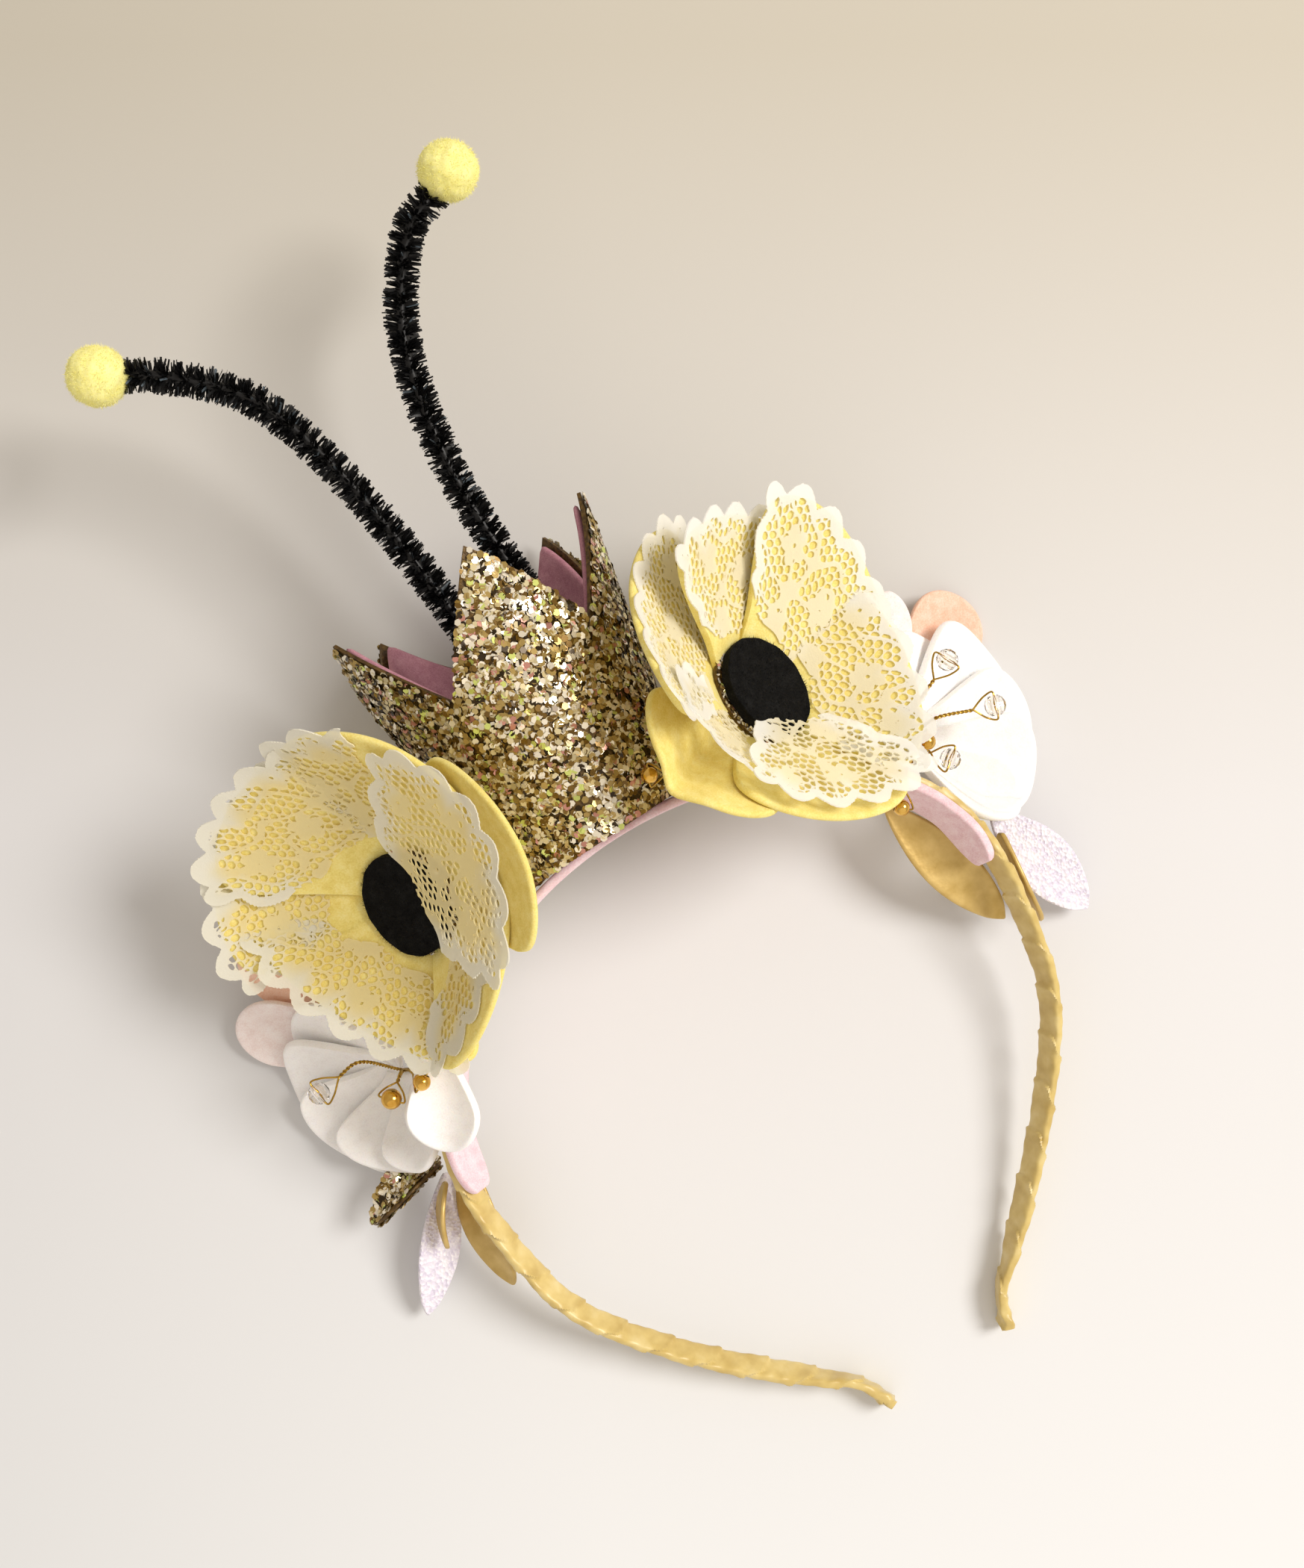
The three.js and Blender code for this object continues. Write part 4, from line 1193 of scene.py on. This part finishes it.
def edge_field(petal, length, grid_a, grid_b):
    """Distance inside the outer edge, less the scallops."""
    across = np.sin(np.linspace(-1, 1, EDGE_TIP_POINTS) * math.pi / 2)
    a = length * petal["over"] * tip_share(across)
    sides = np.linspace(EDGE_FROM, 1, EDGE_SIDE_POINTS + 1)[:-1]
    a = np.concatenate([sides * a[0], a, sides[::-1] * a[-1]])
    across = np.pad(across, EDGE_SIDE_POINTS, mode="edge")
    b = across * lace_half(petal, a / length)
    run = np.concatenate([[0], np.cumsum(np.hypot(np.diff(a), np.diff(b)))])
    run = run * round(run[-1] / SCALLOP_MM) / run[-1]
    near = np.full(grid_a.shape, 99.0)
    count = np.zeros(grid_a.shape)
    for edge_a, edge_b, step in zip(a, b, run):
        gap = np.hypot(grid_a - edge_a, grid_b - edge_b)
        closer = gap < near
        near[closer] = gap[closer]
        count[closer] = step
    half = lace_half(petal, grid_a / length)
    share = np.clip(grid_b / half, -1, 1)
    inside = np.abs(grid_b) < half
    inside &= grid_a < length * petal["over"] * tip_share(share)
    depth = SCALLOP_DEPTH * smooth((grid_a / length - EDGE_FROM) / 0.2)
    return np.where(inside, near, -near) - depth * (1 - np.abs(np.sin(math.pi * count)))


def lace_piece(flower, felt_petal, index):
    petal = {**felt_petal, **felt_petal.get("lace_form", {})}
    root = PETAL_FORM["root"]
    length = math.hypot(petal["reach"] - root, petal["rise"]) * LACE_SLACK
    start = (petal["from"] - root) / (petal["reach"] - root) * length
    low, high = petal.get("lace", (-1.0, 1.0))
    a = np.arange(start - 1, length * petal["over"] + 1, LACE_STEP)
    side = petal["width"] / 2 * LACE_GROWN + 2
    b = np.arange(-side, side, LACE_STEP)
    grid_a, grid_b = np.meshgrid(a, b, indexing="ij")
    half = lace_half(petal, grid_a / length)
    outer = edge_field(petal, length, grid_a, grid_b)
    edge = np.minimum(outer, grid_a - start - 0.8 * np.sin(grid_b * 0.5))
    if low > -1:
        edge = np.minimum(edge, grid_b - low * half - 0.7 * np.sin(grid_a * 0.9))
    if high < 1:
        edge = np.minimum(edge, high * half - grid_b - 0.7 * np.sin(grid_a * 0.9))
    pattern = [net(grid_a, grid_b), vines(grid_a, grid_b, 17 * index), rosettes(grid_a, grid_b, 11 * index)]
    cloth = np.maximum.reduce([*pattern, np.minimum(BORDER - outer, 1.0)])
    flat_points, faces = marched(np.minimum(cloth, edge), a, b)
    share = flat_points[:, 0] / length
    across = flat_points[:, 1] / lace_half(petal, share) * LACE_GROWN
    loose = 0.1 * np.sin(flat_points[:, 0] * 0.45 + index) * np.sin(flat_points[:, 1] * 0.4)
    lifted = off_petal(petal, share, across, (FELT_WALL / 2 + LACE_LIFT + loose)[:, None])
    name = f"lace_{flower['side']}_petal_{index}"
    mesh = bpy.data.meshes.new(name)
    mesh.from_pydata(in_frame(in_flower(flower, lifted)).tolist(), [], faces)
    row = np.round((flat_points[:, 0] - a[0]) / LACE_STEP).astype(int)
    column = np.round((flat_points[:, 1] - b[0]) / LACE_STEP).astype(int)
    # Painted light: the tint runs from the border colour to the yellower inner one, as light from the felt.
    painted_bounce_share = smooth((outer[row, column] - 1.5) / 6)[:, None]
    border_tint, painted_bounce_tint = (np.array(linear(code)) for code in flower["lace_tints_painted_light"])
    tint_points(mesh, border_tint * (1 - painted_bounce_share) + painted_bounce_tint * painted_bounce_share)
    piece = bpy.data.objects.new(name, mesh)
    bpy.context.scene.collection.objects.link(piece)
    shape_with(piece, *wall(LACE_WALL, levels=0))
    tidy_mesh(piece, 50)
    dress(piece, lace_thread, "cream_lace", f"lace_{flower['side']}_{index}")
    return len(piece.data.polygons)


for flower in FLOWERS:
    counts = [lace_piece(flower, petal, index) for index, petal in enumerate(flower["petals"], 1)]
    print("lace faces,", flower["side"], counts)

# %% [markdown]
# ## Flower centres
#
# A disc of black felt sits in each flower on a slightly larger disc of glitter cloth. A cylinder with
# a rounded edge gives each disc its body. Loose fibres break the felt's outline, and flakes lie on the
# rim of glitter that shows round it.

# %% Discs
DISC_RADIUS = 10.6
DISC_SEAT = 2.9
RIM_WALL = 1.0
DISC_WALL = 2.2
RIM_PROUD = 0.9
RIM_FLAKES = 260
RIM_FLAKE_MM = 0.8
DISC_FIBRES = 1800
DISC_FIBRE_MM = 0.1


def disc(name, flower, radius, low, thickness, wobble):
    cylinder = bpy.ops.mesh.primitive_cylinder_add
    piece = start_from(cylinder, name, vertices=64, radius=1, depth=1, end_fill_type="TRIFAN")
    shape_with(piece, ("BEVEL", {"width": 0.05, "segments": 3, "limit_method": "ANGLE"}))
    points = points_of(piece.data)
    angle = np.arctan2(points[:, 1], points[:, 0])
    uneven = radius * (1 + wobble * (np.sin(5 * angle) + np.sin(13 * angle + 1)))
    points = points * np.column_stack([uneven, uneven, np.full(len(points), thickness)])
    points[:, 2] += low + thickness / 2
    move_points(piece.data, in_frame(in_flower(flower, points)))
    tidy_mesh(piece, 40)
    return piece


def fibres_on(name, flower, count, radius, height):
    spread = np.sqrt(dice.uniform(0, 1, count)) * radius
    angle = dice.uniform(0, 2 * math.pi, count)
    spots = np.column_stack([spread * np.cos(angle), spread * np.sin(angle), np.full(count, height)])
    out = np.column_stack([spots[:, :2] / radius * 0.9, np.full(count, 0.5)])
    lean = unit(out + 0.6 * dice.normal(size=(count, 3)))
    tilted = unit(in_flower(flower, lean) - np.array(flower["hub"]))
    axes = axes_along(tilted, dice.uniform(0, 2 * math.pi, count))
    width = np.full(count, DISC_FIBRE_MM)
    sizes = np.column_stack([width, width, dice.uniform(0.3, 0.9, count)])
    tints = np.tile(linear("0b0b0b"), (count, 1))
    return copies(name, SPIKE, SPIKE_FACES, in_flower(flower, spots), axes, sizes, tints)


for flower in FLOWERS:
    side = flower["side"]
    rim = disc(f"glitter_disc_{side}", flower, DISC_RADIUS + RIM_PROUD, DISC_SEAT, RIM_WALL, 0.006)
    dress(rim, glitter_backing, "glitter_fabric", f"disc_rim_{side}")
    angle = dice.uniform(0, 2 * math.pi, RIM_FLAKES)
    ring = dice.uniform(DISC_RADIUS - 0.4, DISC_RADIUS + 1.1, RIM_FLAKES)
    height = np.full(RIM_FLAKES, DISC_SEAT + RIM_WALL - 0.1)
    spots = np.column_stack([ring * np.cos(angle), ring * np.sin(angle), height])
    upward = np.tile(in_flower(flower, UP) - np.array(flower["hub"]), (RIM_FLAKES, 1))
    flake_set(f"disc_flakes_{side}", in_flower(flower, spots), upward, size=RIM_FLAKE_MM, tilt=0.35)
    low = DISC_SEAT + RIM_WALL + GLUE_GAP
    centre = disc(f"black_disc_{side}", flower, DISC_RADIUS, low, DISC_WALL, 0.008)
    dress(centre, black_felt, "black_felt", f"disc_{side}")
    fuzz = fibres_on(f"black_fuzz_{side}", flower, DISC_FIBRES, DISC_RADIUS, low + DISC_WALL - 0.05)
    dress(fuzz, black_felt, "black_felt")
print("discs:", len(FLOWERS))

# %% [markdown]
# ## The small flowers
#
# White felt petals fan out on the outer side of the arch, deeply cupped, with a peach and a pale pink
# petal under them. One more white petal lies over the felt strip on the left. They use the same petal
# surface with their own forms. A row of sizes is turn, reach, rise and width, and an outer petal's last
# number is how much lower it lies.

# %% White, peach and pink petals
WHITE_WALL = 1.6
OUTER_WALL = 1.1
WHITE_FORM = {"root": 1, "root_width": 0.35, "cup": 0.3, "ruffle": 0.9}
OUTER_FORM = {"root": 1, "root_width": 0.15, "cup": 0.15, "ruffle": 0.2, "twist": 0}
OUTER_FROM = 0.42
OUTER_FELTS = {"peach": (peach_felt, "peach_felt"), "pink": (pale_pink_felt, "pale_pink_felt")}
SIZES = ("turn", "reach", "rise", "width")
WHITE_FLOWERS = [
    {
        "side": "left", "tilt": -40, "hub": (-62.2, -21, 12.2), "twist": -10,
        "petals": [
            (128, 25, 7, 25), (163, 27, 8, 27), (198, 25, 8.2, 27), (230, 21, 9, 24), (257, 20, 9.5, 16),
        ],
        "outer": [("peach", (108, 41, 11, 14), -0.7), ("pink", (132, 35, 14.8, 15), 1.1)],
    },
    {
        "side": "right", "tilt": 40, "hub": (62.2, -22, 12.2), "twist": 10,
        "petals": [
            (286, 26, 9, 16), (306, 27, 10, 25), (334, 28, 8.5, 27), (10, 28, 9, 28), (42, 22, 7, 25),
        ],
        "outer": [("peach", (35, 33, 12, 17), 0.45), ("pink", (70, 30, 10, 11), -0.8)],
    },
    {
        "side": "left", "tilt": -14, "hub": (-50.5, -17, 31.4), "twist": 0, "first": 6,
        "petals": [(244, 25, 0.5, 16)], "outer": [],
    },
]

for flower in WHITE_FLOWERS:
    side = flower["side"]
    for index, sizes in enumerate(flower["petals"], flower.get("first", 1)):
        petal = {**WHITE_FORM, "twist": flower["twist"], **dict(zip(SIZES, sizes))}
        surface = petal_sheet(flower, petal)
        piece = cut_cloth(f"white_petal_{side}_{index}", 18, 18, surface, WHITE_WALL)
        dress(piece, white_felt, "white_felt", f"white_flower_{side}")
    for name, sizes, drop in flower["outer"]:
        petal = {**OUTER_FORM, **dict(zip(SIZES, sizes))}
        under = -WHITE_WALL / 2 - GLUE_GAP - drop - OUTER_WALL / 2
        surface = petal_sheet(flower, petal, drop=under, start=OUTER_FROM)
        piece = cut_cloth(f"{name}_petal_{side}", 14, 14, surface, OUTER_WALL)
        dress(piece, *OUTER_FELTS[name], f"petal_{name}_{side}")
print("small petals:", sum(len(flower["petals"]) + len(flower["outer"]) for flower in WHITE_FLOWERS))

# %% [markdown]
# ## Leaves
#
# The leaves are die-cut from leatherette and glitter cloth. Each runs from a root to a tip, is rolled
# about that line and bows along it. A row gives its width, roll and bow, its cloth, its root and its tip.
# A sheet's side counts as 10 mm or more, so a narrower leaf is given that width with its true area.

# %% Leaf shapes
LEAF_WALL = 1.0
LEAF_FLAKES = 420
LEAVES = [
    ("gold_large_right", 11, 8, 2, gold_leather, (50, -30, 16), (57.5, -62, 6)),
    ("gold_small_right", 9, 66, 1.5, gold_leather, (66.3, -47, 14), (63.5, -66.5, 10)),
    ("white_right", 13, -8, 1.5, white_glitter, (67, -43, 10.8), (72.5, -69.5, 4)),
    ("glitter_left", 8, 38, 3, glitter_backing, (-64.6, -39.7, 7.0), (-83, -43.2, 9.0)),
    ("white_left", 9, -24, 1.5, white_glitter, (-64.8, -42.5, 7.6), (-84, -64.5, 4)),
    ("edge_left", 8, 76, 1, gold_leather, (-66, -44, 13), (-73.2, -55.5, 12)),
    ("curled_left", 11, 38, 2, gold_leather, (-59.6, -41, 10), (-66, -69, 6)),
]
LEAF_SLOTS = {
    gold_leather: "gold_leatherette",
    white_glitter: "white_glitter_fabric",
    glitter_backing: "glitter_fabric",
}


def leaf_surface(width, roll, bow, root, tip):
    start = place(root)
    span = place(tip) - start
    along = unit(span)
    level = unit(np.cross(UP, along))
    angle = math.radians(roll)
    side = level * math.cos(angle) + np.cross(along, level) * math.sin(angle)
    out = np.cross(along, side)

    def surface(u, v):
        fan = 0.16 + 0.84 * np.sin(math.pi * np.clip(u, 0.0, 1.0)) ** 0.85
        fan = fan * np.where(u > 0.93, np.sqrt(np.clip((1 - u) / 0.07, 0.02, 1)), 1.0)
        lift = bow * (np.sin(math.pi * u) + 0.5 * v * v * fan)
        return start + u[:, None] * span + (v * fan * width / 2)[:, None] * side + lift[:, None] * out
    return surface, np.linalg.norm(span)


for name, width, roll, bow, material, root, tip in LEAVES:
    surface, length = leaf_surface(width, roll, bow, root, tip)
    leaf = cut_cloth(f"leaf_{name}_cut", 10, 22, surface, LEAF_WALL)
    dress(leaf, material, LEAF_SLOTS[material], f"leaf_{name}")
    if material is glitter_backing:
        u = dice.uniform(0.02, 0.97, LEAF_FLAKES)
        v = dice.uniform(-0.95, 0.95, LEAF_FLAKES)
        spot = surface(u, v)
        normal = unit(np.cross(surface(u + STEP, v) - spot, surface(u, v + STEP) - spot))
        for sign, face in ((1, "upper"), (-1, "under")):
            flake_set(f"leaf_flakes_{face}", spot + sign * normal * LEAF_WALL / 2, sign * normal)
print("leaves:", len(LEAVES))

# %% [markdown]
# ## Stamens
#
# Each stamen is a craft wire bent double, twisted on itself and opened into a small loop that carries
# a bead. Two thin tubes wind round one path and part before the bead. The beads are spheres with their
# poles cut off and bridged, so that they are drilled as real ones are.

# %% Beads
def drilled_bead(name, centre, axis, radius, bore, segments, rings, angle):
    sphere = bpy.ops.mesh.primitive_uv_sphere_add
    piece = start_from(sphere, name, segments=segments, ring_count=rings, radius=1)
    bpy.ops.object.mode_set(mode="EDIT")
    bpy.ops.mesh.select_all(action="DESELECT")
    bpy.ops.object.mode_set(mode="OBJECT")
    for vertex in piece.data.vertices:
        vertex.select = math.hypot(vertex.co.x, vertex.co.y) < bore / radius
    bpy.ops.object.mode_set(mode="EDIT")
    bpy.ops.mesh.delete(type="VERT")
    bpy.ops.mesh.select_all(action="DESELECT")
    bpy.ops.mesh.select_non_manifold()
    bpy.ops.mesh.bridge_edge_loops()
    bpy.ops.object.mode_set(mode="OBJECT")
    first, second, third = axes_along(np.array([axis]), np.zeros(1))
    points = points_of(piece.data) * radius
    turned = points[:, :1] * first + points[:, 1:2] * second + points[:, 2:3] * third
    move_points(piece.data, in_frame(centre + turned))
    tidy_mesh(piece, angle)
    return piece


# %% Wires and their loops
WIRE_RADIUS = 0.21
WIRE_SIDES = 6
WIRE_ROWS = 150
TWIST_PITCH = 1.9
TWIST_POINTS = 160
BEAD_FORMS = {
    "gold": {"bore": 0.62, "segments": 28, "rings": 18, "angle": 35},
    "crystal": {"bore": 0.7, "segments": 9, "rings": 7, "angle": 5},
}
STAMENS = [
    ("left", (-63, -21, 13.1), [
        ("crystal", 2.3, (-77.5, -15, 24), (-68, -14, 24)),
        ("gold", 2.1, (-66, -24, 30), (-62, -21, 26)),
        ("gold", 1.8, (-59, -24.5, 33), (-59.5, -21.5, 28)),
    ]),
    ("right", (63, -22, 13.1), [
        ("crystal", 2.3, (76.5, -12, 24), (66, -16.5, 23)),
        ("crystal", 2.3, (79.5, -25, 22), (68, -20.5, 24)),
        ("gold", 1.8, (64, -23.5, 31), (61.5, -22, 25)),
        ("crystal", 2.2, (66, -29, 27), (62.5, -24.5, 24)),
        ("gold", 1.8, (58, -24, 35), (60, -22, 28)),
        ("gold", 1.7, (52.4, -31.8, 31), (58, -25.5, 33)),
    ]),
    ("crown_left", (-25, -6.4, 33), [
        ("gold", 1.7, (-20, 5, 42), (-23, 1, 39)),
        ("gold", 1.7, (-25.5, 19.5, 38), (-25.5, 8, 36)),
    ]),
    ("crown_right", (24, -6.1, 33), [
        ("gold", 1.8, (22.5, 13.7, 42), (23, 5, 38)),
        ("gold", 1.7, (13.5, 1.8, 47), (19.5, -1, 42)),
    ]),
]


def stamen(foot, radius, bead, via):
    """Paths of the two strands, and the direction of the bead's bore."""
    bent = place(via)
    along = unit(bead - bent)
    side = unit(np.cross(along, UP))
    split = bead - along * (radius + 2.2)
    twisted = smooth_path([foot, bent, split], TWIST_POINTS)
    run = np.linspace(0, path_length(twisted), TWIST_POINTS)
    axes = side_axes(unit(np.gradient(twisted, axis=0)))
    phase = 2 * math.pi * run / TWIST_PITCH
    strands = []
    for sign in (1, -1):
        turn = phase + (0 if sign > 0 else math.pi)
        wound = twisted + WIRE_RADIUS * 1.05 * around(*axes, turn)
        loop = [
            bead - along * radius * 0.9 + sign * side * radius * 0.95,
            bead + sign * side * (radius + 0.55),
            bead + along * 0.25 + sign * side * radius * 0.7,
            bead,
        ]
        strands.append(smooth_path([*wound[::4], *loop], 420))
    return strands, side


bead_count = 0
for name, foot, ends in STAMENS:
    wires = []
    for index, (kind, radius, end, via) in enumerate(ends, 1):
        centre = place(end)
        strands, bore_axis = stamen(np.array(foot, float), radius, centre, via)
        for k, strand in enumerate(strands):
            wires.append(tube(f"strand_{name}_{index}_{k}", strand, WIRE_RADIUS, WIRE_SIDES, WIRE_ROWS))
        title = f"gold_bead_{name}_{index}_turned" if kind == "gold" else f"crystal_{name}_{index}_cut"
        bead = drilled_bead(title, centre, bore_axis, radius, **BEAD_FORMS[kind])
        if kind == "gold":
            dress(bead, gold_bead, "gold_bead", f"gold_bead_{name}_{index}")
        else:
            dress(bead, cut_crystal, "clear_crystal", f"crystal_bead_{name}_{index}")
        bead_count += 1
    bpy.ops.object.select_all(action="DESELECT")
    for wire in wires:
        wire.select_set(True)
    bpy.context.view_layer.objects.active = wires[0]
    bpy.ops.object.join()
    wires[0].name = f"twisted_wires_{name}"
    dress(wires[0], brass_wire, "gold_wire", f"stamen_wires_{name}")
print("beads on wires:", bead_count)
